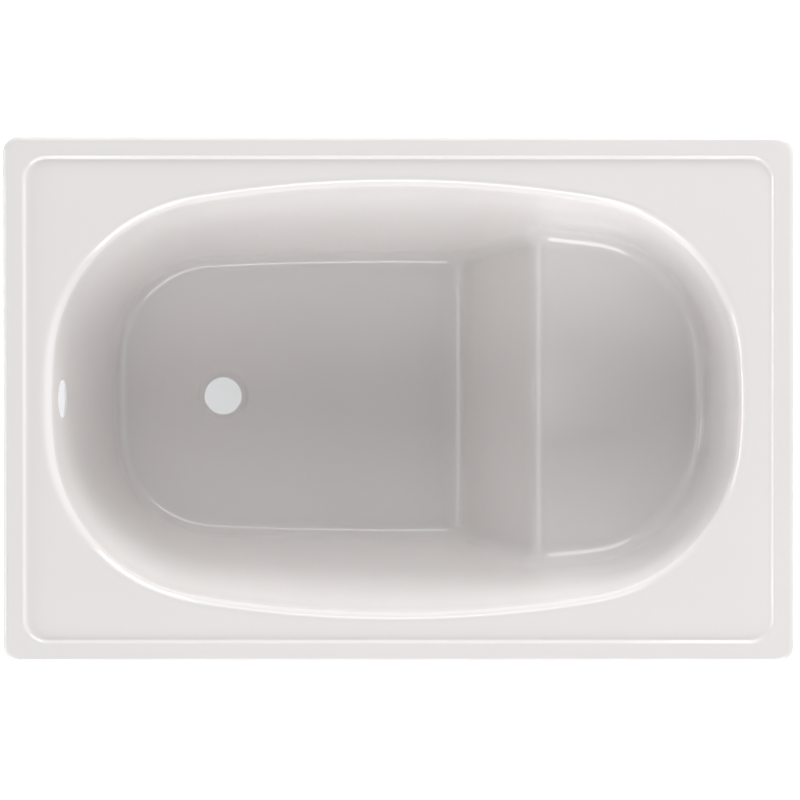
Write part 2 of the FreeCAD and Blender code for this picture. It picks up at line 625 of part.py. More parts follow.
def bracket(label, x, top):
    """Hat-section strip welded under the bath, its two flanges up against the sheet."""
    body = new_body(label)
    profile = new_sketch(body, f"{label}_profile", "XZ_Plane")
    web, flange, gauge = "Sizes.bracket_web_half_width", "Sizes.bracket_half_width", "Sizes.bracket_wall"
    low = "-Sizes.bracket_height"
    outline(profile, (
        (f"-{flange}", "0"), (f"-{web} + {gauge}", "0"), (f"-{web} + {gauge}", f"{low} + {gauge}"),
        (f"{web} - {gauge}", f"{low} + {gauge}"), (f"{web} - {gauge}", "0"), (flange, "0"),
        (flange, f"-{gauge}"), (web, f"-{gauge}"), (web, low),
        (f"-{web}", low), (f"-{web}", f"-{gauge}"), (f"-{flange}", f"-{gauge}"),
    ))
    pad(body, profile, f"2 * {BRACKET_HALF_LENGTH}", symmetric=True)
    body.setExpression("Placement.Base.x", x)
    body.setExpression("Placement.Base.z", top)
    return finished(body)


def rail(label, x, top):
    """Channel across the bath, open below, with holes for two weld studs and two leg screws."""
    body = new_body(label)
    profile = new_sketch(body, f"{label}_profile", "XZ_Plane")
    side, gauge, low = "Sizes.rail_half_width", "Sizes.rail_wall", "-Sizes.rail_height"
    outline(profile, (
        (f"-{side}", low), (f"-{side}", "0"), (side, "0"), (side, low),
        (f"{side} - {gauge}", low), (f"{side} - {gauge}", f"-{gauge}"),
        (f"-{side} + {gauge}", f"-{gauge}"), (f"-{side} + {gauge}", low),
    ))
    channel = pad(body, profile, f"2 * {RAIL_HALF_LENGTH}", symmetric=True)
    along_rail = FreeCAD.Vector(0, 1, 0)
    outer = rounded(body, channel, "Sizes.rail_bend_radius",
                    lambda edge: runs_along(edge, along_rail) and abs(edge.BoundBox.ZMax) < CLOSE)
    rounded(body, outer, "Sizes.rail_bend_radius - Sizes.rail_wall",
            lambda edge: runs_along(edge, along_rail)
            and abs(edge.BoundBox.ZMax + worth(gauge)) < CLOSE
            and abs(abs(edge.BoundBox.XMax) - worth(f"{side} - {gauge}")) < CLOSE)
    doc.recompute()
    holes = new_sketch(body, f"{label}_holes")
    for spread, radius in ((STUD_SPREAD, "Sizes.stud_hole_radius"), (LEG_SPREAD, "Sizes.leg_hole_radius")):
        round_hole(holes, "0", spread, radius)
        round_hole(holes, "0", f"-{spread}", radius)
    pocket(body, holes)
    body.setExpression("Placement.Base.x", x)
    body.setExpression("Placement.Base.z", top)
    return finished(body)


def pair_of(label, x, top, spread, height, draw):
    """Two like pieces, one each side of the bath, padded down from a level."""
    body = new_body(label)
    section = new_sketch(body, f"{label}_section")
    draw(section, spread)
    draw(section, f"-{spread}")
    pad(body, section, height, downward=True)
    body.setExpression("Placement.Base.x", x)
    body.setExpression("Placement.Base.z", top)
    return finished(body)


def stud_section(section, y):
    round_hole(section, "0", y, "Sizes.stud_radius")


def washer_section(section, y):
    round_hole(section, "0", y, "Sizes.washer_radius")
    round_hole(section, "0", y, "Sizes.stud_hole_radius")


def stud_nut_section(section, y):
    hexagon(section, "0", y, "Sizes.stud_nut_flats")
    round_hole(section, "0", y, "Sizes.stud_radius + Sizes.thread_clearance")


def leg_nut_section(section, y):
    hexagon(section, "0", y, "Sizes.leg_nut_flats")
    round_hole(section, "0", y, "Sizes.screw_radius + Sizes.thread_clearance")


def rail_fasteners(name, x, top):
    """Weld studs of a bracket, with the washers and nuts that clamp its rail."""
    under_web = f"{top} - Sizes.rail_wall"
    pair_of(f"{name}_studs", x, top, STUD_SPREAD, "Sizes.stud_length", stud_section)
    pair_of(f"{name}_washers", x, under_web, STUD_SPREAD, "Sizes.washer_thickness", washer_section)
    pair_of(f"{name}_nuts", x, f"{under_web} - Sizes.washer_thickness", STUD_SPREAD,
            "Sizes.stud_nut_height", stud_nut_section)


def upright(label, side):
    """Square tube welded up into the seat rail; the leg screw runs inside it."""
    body = new_body(label)
    section = new_sketch(body, f"{label}_section")
    outside, gauge, bend = "Sizes.upright_half_width", "Sizes.upright_wall", "Sizes.upright_corner_radius"
    rounded_box(section, "0", "0", outside, outside, bend)
    rounded_box(section, "0", "0", f"{outside} - {gauge}", f"{outside} - {gauge}", f"{bend} - {gauge}")
    pad(body, section, f"{SEAT_RAIL_TOP} - Sizes.rail_wall - {END_PLATE_TOP}")
    body.setExpression("Placement.Base.x", SEAT_RAIL_X)
    body.setExpression("Placement.Base.y", f"{side} * {LEG_SPREAD}")
    body.setExpression("Placement.Base.z", END_PLATE_TOP)
    return finished(body)


def end_plate_section(section, y):
    plate = "Sizes.end_plate_half_width"
    rounded_box(section, "0", y, plate, plate, "Sizes.upright_corner_radius")
    round_hole(section, "0", y, "Sizes.leg_hole_radius")


# Legs

def leg_screw(label, x, side):
    """Threaded leg screw with a spanner collar and, at its lower end, a disc that turns in the foot."""
    body = new_body(label)
    profile = new_sketch(body, f"{label}_profile", "XZ_Plane")
    top, chamfer = SCREW_LENGTH, "Sizes.screw_chamfer"
    neck_top = "Sizes.disc_thickness + Sizes.neck_length"
    outline(profile, (
        ("0", "0"), ("Sizes.disc_radius", "0"), ("Sizes.disc_radius", "Sizes.disc_thickness"),
        ("Sizes.neck_radius", "Sizes.disc_thickness"), ("Sizes.neck_radius", neck_top),
        ("Sizes.screw_radius", neck_top), ("Sizes.screw_radius", f"{top} - {chamfer}"),
        (f"Sizes.screw_radius - {chamfer}", top), ("0", top),
    ))
    turned(body, profile)
    doc.recompute()
    collar = new_sketch(body, f"{label}_collar", lift="Sizes.collar_base")
    hexagon(collar, "0", "0", "Sizes.leg_nut_flats")
    pad(body, collar, "Sizes.collar_height")
    body.setExpression("Placement.Base.x", x)
    body.setExpression("Placement.Base.y", f"{side} * {LEG_SPREAD}")
    body.setExpression("Placement.Base.z", "Sizes.socket_floor")
    return finished(body)


def foot(label, x, side):
    """Moulded foot: round base, ribbed neck and a socket that holds the screw's disc."""
    body = new_body(label)
    profile = new_sketch(body, f"{label}_profile", "XZ_Plane")
    wide, narrow, edge = "Sizes.foot_radius", "Sizes.foot_neck_radius", "Sizes.foot_edge"
    base, top, flare = "Sizes.foot_base_height", "Sizes.foot_height", "Sizes.foot_flare"
    outline(profile, (
        ("0", "0"), (f"{wide} - {edge}", "0"), (wide, edge), (wide, f"{base} - {edge}"),
        (f"{wide} - {edge}", base), (f"{narrow} + {flare}", base), (narrow, f"{base} + {flare}"),
        (narrow, top), ("0", top),
    ))
    turned(body, profile)
    doc.recompute()

    rib = new_sketch(body, f"{label}_rib", "XZ_Plane")
    inside_neck = f"{narrow} - Sizes.rib_thickness / 2"
    outline(rib, (
        (inside_neck, "Sizes.foot_base_height / 2"), ("Sizes.rib_reach", "Sizes.foot_base_height / 2"),
        ("Sizes.rib_reach", "Sizes.foot_base_height"), ("Sizes.foot_neck_radius", "Sizes.rib_height"),
        (inside_neck, "Sizes.rib_height"),
    ))
    first_rib = pad(body, rib, "Sizes.rib_thickness", symmetric=True)
    doc.recompute()
    ribs = feature(body, "PolarPattern", f"{label}_ribs", Originals=[first_rib], Axis=(rib, ["V_Axis"]))
    ribs.setExpression("Occurrences", "Sizes.rib_count")
    body.Tip = ribs
    doc.recompute()

    socket = new_sketch(body, f"{label}_socket", "XZ_Plane")
    slack = "Sizes.socket_clearance"
    disc_top = f"Sizes.socket_floor + Sizes.disc_thickness + {slack}"
    neck_top = "Sizes.socket_floor + Sizes.disc_thickness + Sizes.neck_length"
    mouth = "Sizes.foot_height + Sizes.overrun"
    outline(socket, (
        ("0", "Sizes.socket_floor"), (f"Sizes.disc_radius + {slack}", "Sizes.socket_floor"),
        (f"Sizes.disc_radius + {slack}", disc_top), (f"Sizes.neck_radius + {slack}", disc_top),
        (f"Sizes.neck_radius + {slack}", f"{neck_top} - {slack}"),
        (f"Sizes.screw_radius + {slack}", f"{neck_top} - {slack}"),
        (f"Sizes.screw_radius + {slack}", mouth), ("0", mouth),
    ))
    feature(body, "Groove", f"{label}_socket_cut", Profile=socket, ReferenceAxis=(socket, ["V_Axis"]))
    body.setExpression("Placement.Base.x", x)
    body.setExpression("Placement.Base.y", f"{side} * {LEG_SPREAD}")
    return finished(body)


# Earthing

def earth_tab():
    """Bent strip welded under the foot well, with a hole for the earthing bolt."""
    body = new_body("earth_tab")
    profile = new_sketch(body, "earth_tab_profile", "XZ_Plane")
    gauge, drop = "Sizes.tab_wall", "-Sizes.tab_drop"
    outline(profile, (("0", "0"), ("Sizes.tab_flange", "0"), ("Sizes.tab_flange", f"-{gauge}"),
                      (gauge, f"-{gauge}"), (gauge, drop), ("0", drop)))
    strip = pad(body, profile, "2 * Sizes.tab_half_width", symmetric=True)
    across = FreeCAD.Vector(0, 1, 0)
    rounded(body, strip, "Sizes.tab_bend_radius",
            lambda edge: runs_along(edge, across) and abs(edge.BoundBox.XMax) < CLOSE
            and abs(edge.BoundBox.ZMax) < CLOSE)
    doc.recompute()
    hole = new_sketch(body, "earth_tab_hole", "YZ_Plane")
    round_hole(hole, "0", "-Sizes.tab_hole_drop", "Sizes.tab_hole_radius")
    pocket(body, hole)
    place_at_tab(body, "0", FLOOR_UNDER)
    return finished(body)


def place_at_tab(body, along, level):
    body.setExpression("Placement.Base.x", f"{TAB_X} + {along}")
    body.setExpression("Placement.Base.z", level)


def earth_fasteners():
    """Bolt, two washers and nut of the earthing tab, all along X."""
    bolt_level = f"{FLOOR_UNDER} - Sizes.tab_hole_drop"
    grip = "(Sizes.tab_wall + Sizes.earth_washer_thickness)"
    bolt = new_body("earth_bolt")
    head = new_sketch(bolt, "earth_bolt_head", "YZ_Plane")
    hexagon(head, "0", "0", "Sizes.earth_nut_flats")
    pad(bolt, head, "Sizes.earth_head_height", downward=True)
    shank = new_sketch(bolt, "earth_bolt_shank", "YZ_Plane")
    round_hole(shank, "0", "0", "Sizes.earth_bolt_radius")
    pad(bolt, shank, f"Sizes.earth_washer_thickness + {grip} + Sizes.earth_nut_height + Sizes.earth_bolt_spare")
    place_at_tab(bolt, "-Sizes.earth_washer_thickness", bolt_level)
    finished(bolt)

    washers = new_body("earth_washers")
    for name, away in (("near", "-Sizes.earth_washer_thickness"), ("far", "Sizes.tab_wall")):
        ring = new_sketch(washers, f"earth_washer_{name}", "YZ_Plane", lift=away)
        round_hole(ring, "0", "0", "Sizes.earth_washer_radius")
        round_hole(ring, "0", "0", "Sizes.earth_bolt_radius + Sizes.earth_clearance")
        pad(washers, ring, "Sizes.earth_washer_thickness")
    place_at_tab(washers, "0", bolt_level)
    finished(washers)

    nut = new_body("earth_nut")
    section = new_sketch(nut, "earth_nut_section", "YZ_Plane")
    hexagon(section, "0", "0", "Sizes.earth_nut_flats")
    round_hole(section, "0", "0", "Sizes.earth_bolt_radius + Sizes.earth_clearance")
    pad(nut, section, "Sizes.earth_nut_height")
    place_at_tab(nut, grip, bolt_level)
    finished(nut)


bath_shell()
waste_mat()
mat("floor_pad", f"({DRAIN_RAIL_X} + {MAT_MARGIN})", f"({TAB_X} - Sizes.mat_gap)", "Sizes.floor_mat_half_width",
    FLOOR_UNDER)
mat("seat_pad", f"({SEAT_RAIL_X} + {MAT_MARGIN})", f"({BACK_REACH} - Sizes.seat_mat_inset)",
    "Sizes.seat_mat_half_width", SEAT_UNDER)
riser_mat()

LEG_SETS = (
    ("drain", DRAIN_RAIL_X, FLOOR_UNDER, DRAIN_RAIL_TOP),
    ("seat", SEAT_RAIL_X, SEAT_UNDER, SEAT_RAIL_TOP),
)
SIDES = (("left", 1), ("right", -1))
for name, x, bath_underside, rail_top in LEG_SETS:
    bracket(f"{name}_bracket", x, bath_underside)
    rail(f"{name}_rail", x, rail_top)
    rail_fasteners(name, x, rail_top)
    pair_of(f"{name}_lock_nuts", x, LOCK_TOP, LEG_SPREAD, "Sizes.lock_nut_height", leg_nut_section)
    for side_name, side in SIDES:
        leg_screw(f"screw_{name}_{side_name}", x, side)
        foot(f"foot_{name}_{side_name}", x, side)

# The drain rail's nuts are welded under its web, the seat legs' nuts on the plates inside the tubes.
pair_of("drain_weld_nuts", DRAIN_RAIL_X, f"{DRAIN_RAIL_TOP} - Sizes.rail_wall", LEG_SPREAD,
        "Sizes.leg_nut_height", leg_nut_section)
pair_of("seat_end_plates", SEAT_RAIL_X, END_PLATE_TOP, LEG_SPREAD, "Sizes.end_plate_thickness",
        end_plate_section)
pair_of("seat_weld_nuts", SEAT_RAIL_X, f"{END_PLATE_TOP} + Sizes.leg_nut_height", LEG_SPREAD,
        "Sizes.leg_nut_height", leg_nut_section)
for side_name, side in SIDES:
    upright(f"seat_upright_{side_name}", side)
earth_tab()
earth_fasteners()

doc.recompute()
for item in doc.Objects:
    if {"Invalid", "Error"} & set(item.State):
        raise RuntimeError(f"{item.Label} could not be built: {item.State}")
for body in sub_parts:
    if body.Shape.isNull() or not body.Shape.isValid():
        raise RuntimeError(f"{body.Label} has no valid shape")
for body in sub_parts:
    body.Shape.exportStep(f"parts/{body.Label}.step")
print(len(sub_parts), "sub-parts written")
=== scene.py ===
"""Steel step-seat bath on its leg set: enamelled pressing, mats, rails, legs and small hardware."""

import logging
import math
from dataclasses import dataclass, field
from enum import Enum

import bpy
import numpy as np
from mathutils import Matrix, Vector
from mathutils.geometry import delaunay_2d_cdt

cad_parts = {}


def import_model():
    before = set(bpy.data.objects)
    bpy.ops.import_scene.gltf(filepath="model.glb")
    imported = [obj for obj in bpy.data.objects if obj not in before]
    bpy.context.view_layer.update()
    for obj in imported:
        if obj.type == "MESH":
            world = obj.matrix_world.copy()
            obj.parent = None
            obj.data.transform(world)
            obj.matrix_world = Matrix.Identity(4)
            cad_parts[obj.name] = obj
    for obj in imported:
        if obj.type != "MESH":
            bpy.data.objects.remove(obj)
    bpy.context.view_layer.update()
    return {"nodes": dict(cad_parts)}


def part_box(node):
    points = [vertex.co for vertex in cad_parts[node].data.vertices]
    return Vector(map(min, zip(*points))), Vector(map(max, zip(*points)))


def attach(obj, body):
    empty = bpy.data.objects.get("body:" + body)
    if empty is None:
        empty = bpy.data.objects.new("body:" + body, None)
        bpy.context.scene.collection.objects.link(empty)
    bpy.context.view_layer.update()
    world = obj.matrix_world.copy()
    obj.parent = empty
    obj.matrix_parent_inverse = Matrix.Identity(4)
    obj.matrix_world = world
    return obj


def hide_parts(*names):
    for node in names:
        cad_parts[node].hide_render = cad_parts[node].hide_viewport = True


LOG = logging.getLogger("bath")
MM = 0.001
QUARTER = math.pi / 2
CREASE = 32
SOFT_EDGE = 50
THREAD_DEPTH = 0.61
THREAD_PARTS = 20
CHAMFER_START = 0.475
CHAMFER_SLOPE = 0.577
NUT_SINK = 0.5
Node = bpy.types.Node
Mesh = bpy.types.Mesh
Material = bpy.types.Material


class Slot(Enum):
    """Finishes of the record, by name."""

    ENAMEL = "enamel"
    ZINC = "zinc"
    MAT = "mat"
    PLASTIC = "foot_plastic"


class Side(Enum):
    """The two long sides of the bath, as the sign of their crosswise direction."""

    LEFT = 1
    RIGHT = -1

    @property
    def word(self) -> str:
        """The side as the pieces' names have it."""
        return self.name.lower()


class End(Enum):
    """The two leg sets, by the end of the bath that they carry."""

    DRAIN = "drain"
    SEAT = "seat"


# Node trees and finishes.


class Graph:
    """A node tree and the calls that fill it."""

    def __init__(self, tree: bpy.types.NodeTree) -> None:
        """Starts with the tree empty."""
        self.tree = tree
        tree.nodes.clear()

    def put(self, node: Node, **values) -> Node:
        """Sets a node's properties and inputs.

        Args:
            node: the node.
            **values: each by the name of a property, or else of an input, with underscores for spaces or as in0,
                in1...; an input takes a plain value, an output, a node for its first output, or the name of one
                of the tree's own inputs.

        Returns:
            The node.
        """
        for name, value in values.items():
            if hasattr(node, name):
                setattr(node, name, value)
                continue
            target = node.inputs[int(name[2:]) if name.startswith("in") else name.replace("_", " ")]
            if isinstance(value, str):
                value = self.source.outputs[value]
            elif isinstance(value, bpy.types.Node):
                value = value.outputs[0]
            if isinstance(value, bpy.types.NodeSocket):
                self.tree.links.new(value, target)
            else:
                target.default_value = value
        return node

    def add(self, kind: str, **values) -> Node:
        """Adds a node and sets it up, as put does."""
        return self.put(self.tree.nodes.new(kind), **values)

    def reckon(self, operation: str, *terms) -> Node:
        """One step of arithmetic on terms as put takes them."""
        return self.add("ShaderNodeMath", operation=operation, **{f"in{i}": term for i, term in enumerate(terms)})


class Shading(Graph):
    """A material's nodes and the patterns that the finishes share."""

    def __init__(self, name: str) -> None:
        """Starts a material with a principled shader."""
        self.material = bpy.data.materials.new(name)
        self.material.use_nodes = True
        super().__init__(self.material.node_tree)
        self.shader = self.add("ShaderNodeBsdfPrincipled")
        self.output = self.add("ShaderNodeOutputMaterial", Surface=self.shader)
        self.place = self.add("ShaderNodeTexCoord").outputs["Object"]

    def noise(self, scale: float, detail: float = 2.0, stretch=None) -> Node:
        """Noise over the object's own coordinates, scaled along each axis if asked."""
        place = self.place
        if stretch is not None:
            place = self.add("ShaderNodeMapping", Vector=place, Scale=stretch)
        return self.add("ShaderNodeTexNoise", Scale=scale, Detail=detail, Vector=place)

    def grains(self, scale: float) -> Node:
        """Distance to the nearest of many scattered grains."""
        return self.add("ShaderNodeTexVoronoi", Scale=scale, Vector=self.place)

    def tone(self, source, shade: tuple, light: tuple, start: float = 0.35, stop: float = 0.65) -> Node:
        """A colour from shade to light as a pattern goes from start to stop."""
        ramp = self.add("ShaderNodeValToRGB", Fac=source)
        for element, place, colour in zip(ramp.color_ramp.elements, (start, stop), (shade, light)):
            element.position, element.color = place, (*colour, 1.0)
        return ramp

    def span(self, source, low: float, high: float, start: float = 0.3, stop: float = 0.7) -> Node:
        """A value from low to high as a pattern goes from start to stop."""
        return self.add("ShaderNodeMapRange", Value=source, From_Min=start, From_Max=stop, To_Min=low, To_Max=high)

    def blend(self, factor: Node, low, high: tuple) -> bpy.types.NodeSocket:
        """A colour mixed towards a plain one, by a factor from a pattern."""
        return self.add("ShaderNodeMix", data_type="RGBA", in0=factor, in6=low, in7=(*high, 1.0)).outputs[2]

    def bump(self, source, height: float, strength: float, under=None) -> Node:
        """Gives the shader a bump of a real height in metres, which can lie on an earlier one."""
        node = self.add("ShaderNodeBump", Height=source, Distance=height, Strength=strength)
        if under is not None:
            self.put(node, Normal=under)
        self.put(self.shader, Normal=node)
        return node

    def done(self, colour, roughness, **values) -> Material:
        """Sets the shader's colour, roughness and other inputs and gives the material."""
        self.put(self.shader, Base_Color=colour, Roughness=roughness, **values)
        return self.material


@dataclass(frozen=True)
class WhiteEnamel:
    """Fired white enamel: glossy, hardly uneven, faintly warm."""

    light: tuple = (0.905, 0.882, 0.872)
    shade: tuple = (0.885, 0.859, 0.852)
    roughness: float = 0.1
    cloud_scale: float = 3.0
    haze_scale: float = 14.0
    flow_scale: float = 26.0
    flow_height: float = 0.00022
    peel_scale: float = 420.0
    peel_height: float = 0.000012

    def material(self) -> Material:
        """Builds the enamel."""
        made = Shading("white_enamel")
        colour = made.tone(made.noise(self.cloud_scale, 3.0), self.shade, self.light, 0.3, 0.7)
        gloss = made.span(made.noise(self.haze_scale, 4.0), self.roughness - 0.03, self.roughness + 0.04)
        flow = made.bump(made.noise(self.flow_scale, 1.0), self.flow_height, 0.35)
        made.bump(made.noise(self.peel_scale), self.peel_height, 0.6, flow)
        return made.done(colour, gloss, IOR=1.52, Coat_Weight=0.25, Coat_Roughness=0.05)


@dataclass(frozen=True)
class GroundCoat:
    """Thin grey-blue ground enamel on the pressing's back, speckled and less even."""

    light: tuple = (0.36, 0.39, 0.425)
    shade: tuple = (0.30, 0.33, 0.365)
    speck: tuple = (0.60, 0.62, 0.64)
    pit: tuple = (0.13, 0.145, 0.17)
    roughness: float = 0.34
    grain_height: float = 0.00004
    wave_height: float = 0.0002

    def material(self) -> Material:
        """Builds the ground coat."""
        made = Shading("ground_coat")
        clouds, grains = made.noise(5.0, 3.0), made.grains(460.0)
        colour = made.tone(clouds, self.shade, self.light, 0.34, 0.66)
        colour = made.blend(made.span(grains, 0.7, 0.0, 0.06, 0.26), colour, self.speck)
        colour = made.blend(made.span(made.noise(900.0, 1.0), 0.7, 0.0, 0.26, 0.36), colour, self.pit)
        made.bump(grains, self.grain_height, 0.5, made.bump(made.noise(60.0, 4.0), self.wave_height, 0.5))
        return made.done(colour, made.span(clouds, self.roughness - 0.06, self.roughness + 0.12))


@dataclass(frozen=True)
class Galvanised:
    """Hot-dip zinc on rolled sheet: spangles, dull sheen, faint rolling lines."""

    light: tuple = (0.64, 0.65, 0.66)
    shade: tuple = (0.44, 0.455, 0.47)
    bloom: tuple = (0.52, 0.52, 0.51)
    spangle_scale: float = 95.0
    warp: tuple = (0.012, 0.012, 0.012)
    roughness: float = 0.36
    line_height: float = 0.00002
    facet_height: float = 0.00003

    def material(self) -> Material:
        """Builds the galvanised sheet."""
        made = Shading("galvanised_sheet")
        wave = made.noise(40.0, 3.0).outputs["Color"]
        warped = made.add("ShaderNodeVectorMath", operation="MULTIPLY_ADD", in0=wave, in1=self.warp, in2=made.place)
        spangles = made.add("ShaderNodeTexVoronoi", Scale=self.spangle_scale, Vector=warped)
        facet = made.add("ShaderNodeSeparateColor", Color=spangles.outputs["Color"]).outputs
        colour = made.tone(facet["Red"], self.shade, self.light, 0.0, 1.0)
        colour = made.blend(made.span(made.noise(7.0, 5.0), 0.0, 0.35, 0.42, 0.72), colour, self.bloom)
        gloss = made.span(facet["Green"], self.roughness - 0.09, self.roughness + 0.12, 0.0, 1.0)
        lines = made.bump(made.noise(900.0, stretch=(1.0, 0.03, 1.0)), self.line_height, 0.35)
        made.bump(facet["Blue"], self.facet_height, 0.4, lines)
        return made.done(colour, gloss, Metallic=1.0)


@dataclass(frozen=True)
class BrightZinc:
    """Electroplated zinc on turned and pressed small parts."""

    light: tuple = (0.74, 0.745, 0.75)
    shade: tuple = (0.55, 0.56, 0.58)
    roughness: float = 0.24
    grain_height: float = 0.000012

    def material(self) -> Material:
        """Builds the plated finish."""
        made = Shading("bright_zinc")
        colour = made.tone(made.noise(120.0, 4.0), self.shade, self.light, 0.32, 0.62)
        gloss = made.span(made.noise(300.0, 3.0), self.roughness - 0.06, self.roughness + 0.14)
        made.bump(made.noise(2500.0), self.grain_height, 0.5)
        return made.done(colour, gloss, Metallic=1.0)


@dataclass(frozen=True)
class BareWeld:
    """Spot-welded and resistance-welded steel under clear lacquer, browned by heat in patches."""

    light: tuple = (0.50, 0.49, 0.475)
    shade: tuple = (0.33, 0.315, 0.30)
    scale_height: float = 0.00003

    def material(self) -> Material:
        """Builds the browned steel."""
        made = Shading("browned_steel")
        clouds = made.noise(45.0, 5.0)
        made.bump(made.noise(700.0, 3.0), self.scale_height, 0.5)
        return made.done(made.tone(clouds, self.shade, self.light), made.span(clouds, 0.32, 0.52), Metallic=1.0)


@dataclass(frozen=True)
class BitumenMat:
    """Sound-deadening mat: near-black, matt, pitted like pressed felt with mineral grains."""

    light: tuple = (0.060, 0.057, 0.054)
    shade: tuple = (0.022, 0.021, 0.021)
    grain: tuple = (0.17, 0.165, 0.155)
    pit_height: float = 0.00025
    felt_height: float = 0.0004

    def material(self) -> Material:
        """Builds the mat."""
        made = Shading("bitumen_mat")
        clouds, grains = made.noise(35.0, 6.0), made.grains(520.0)
        colour = made.tone(clouds, self.shade, self.light)
        colour = made.blend(made.span(grains, 0.8, 0.0, 0.04, 0.16), colour, self.grain)
        made.bump(made.noise(160.0, 5.0), self.felt_height, 0.5, made.bump(grains, self.pit_height, 0.7))
        return made.done(colour, made.span(clouds, 0.62, 0.86))


@dataclass(frozen=True)
class MouldedPlastic:
    """Black moulded polyamide with a fine eroded texture and slight scuffs."""

    light: tuple = (0.045, 0.045, 0.047)
    shade: tuple = (0.024, 0.024, 0.026)
    scuff: tuple = (0.15, 0.15, 0.15)
    grain_height: float = 0.00005

    def material(self) -> Material:
        """Builds the plastic."""
        made = Shading("moulded_plastic")
        rubs = made.noise(260.0, 6.0, (1.0, 1.0, 0.35))
        colour = made.tone(made.noise(50.0, 4.0), self.shade, self.light)
        colour = made.blend(made.span(rubs, 0.0, 0.45, 0.62, 0.78), colour, self.scuff)
        made.bump(made.noise(1800.0, 3.0), self.grain_height, 0.6)
        return made.done(colour, made.span(rubs, 0.38, 0.58))


def built(finish: type) -> Material:
    """A field that holds a finish's material."""
    return field(default_factory=lambda: finish().material())


@dataclass
class Finishes:
    """The materials of the bath, each built once."""

    enamel: Material = built(WhiteEnamel)
    ground: Material = built(GroundCoat)
    sheet: Material = built(Galvanised)
    bright: Material = built(BrightZinc)
    weld: Material = built(BareWeld)
    mat: Material = built(BitumenMat)
    plastic: Material = built(MouldedPlastic)


# Meshes.


def linked(name: str, data: bpy.types.ID) -> bpy.types.Object:
    """Makes an object and puts it in the scene."""
    made = bpy.data.objects.new(name, data)
    bpy.context.scene.collection.objects.link(made)
    return made


def metres(*sizes: float) -> tuple:
    """Sizes in millimetres, in metres."""
    return tuple(size * MM for size in sizes)


def plain_mesh(made: bpy.types.Object) -> Mesh:
    """Gives the mesh that an object's modifiers make, and removes the object."""
    bpy.context.view_layer.update()
    graph = bpy.context.evaluated_depsgraph_get()
    mesh = bpy.data.meshes.new_from_object(made.evaluated_get(graph), depsgraph=graph)
    bpy.data.objects.remove(made)
    return mesh


def bevel(width: float, segments: int, least: float) -> tuple:
    """A change that bevels edges from a least angle in degrees, by a width in millimetres."""
    limit = math.radians(least)
    return "BEVEL", {"width": width * MM, "segments": segments, "limit_method": "ANGLE", "angle_limit": limit}


def gauge(wall: float, **values) -> tuple:
    """A change that gives a sheet its thickness in millimetres."""
    return "SOLIDIFY", {"thickness": wall * MM, "use_even_offset": True, **values}


def reworked(mesh: Mesh, *changes: tuple) -> Mesh:
    """Puts a mesh through modifiers, each given as its kind and its properties."""
    made = linked("work", mesh)
    for kind, values in changes:
        modifier = made.modifiers.new(kind, kind)
        for name, value in values.items():
            setattr(modifier, name, value)
    return plain_mesh(made)


def into_bath(made: bpy.types.Object, stands_for: str, body: str = "bath") -> None:
    """Puts a piece in the place of its solid, on a body."""
    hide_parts(stands_for)
    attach(made, body)
    LOG.info("%s: %d faces, rides on %s", made.name, len(made.data.polygons), body)


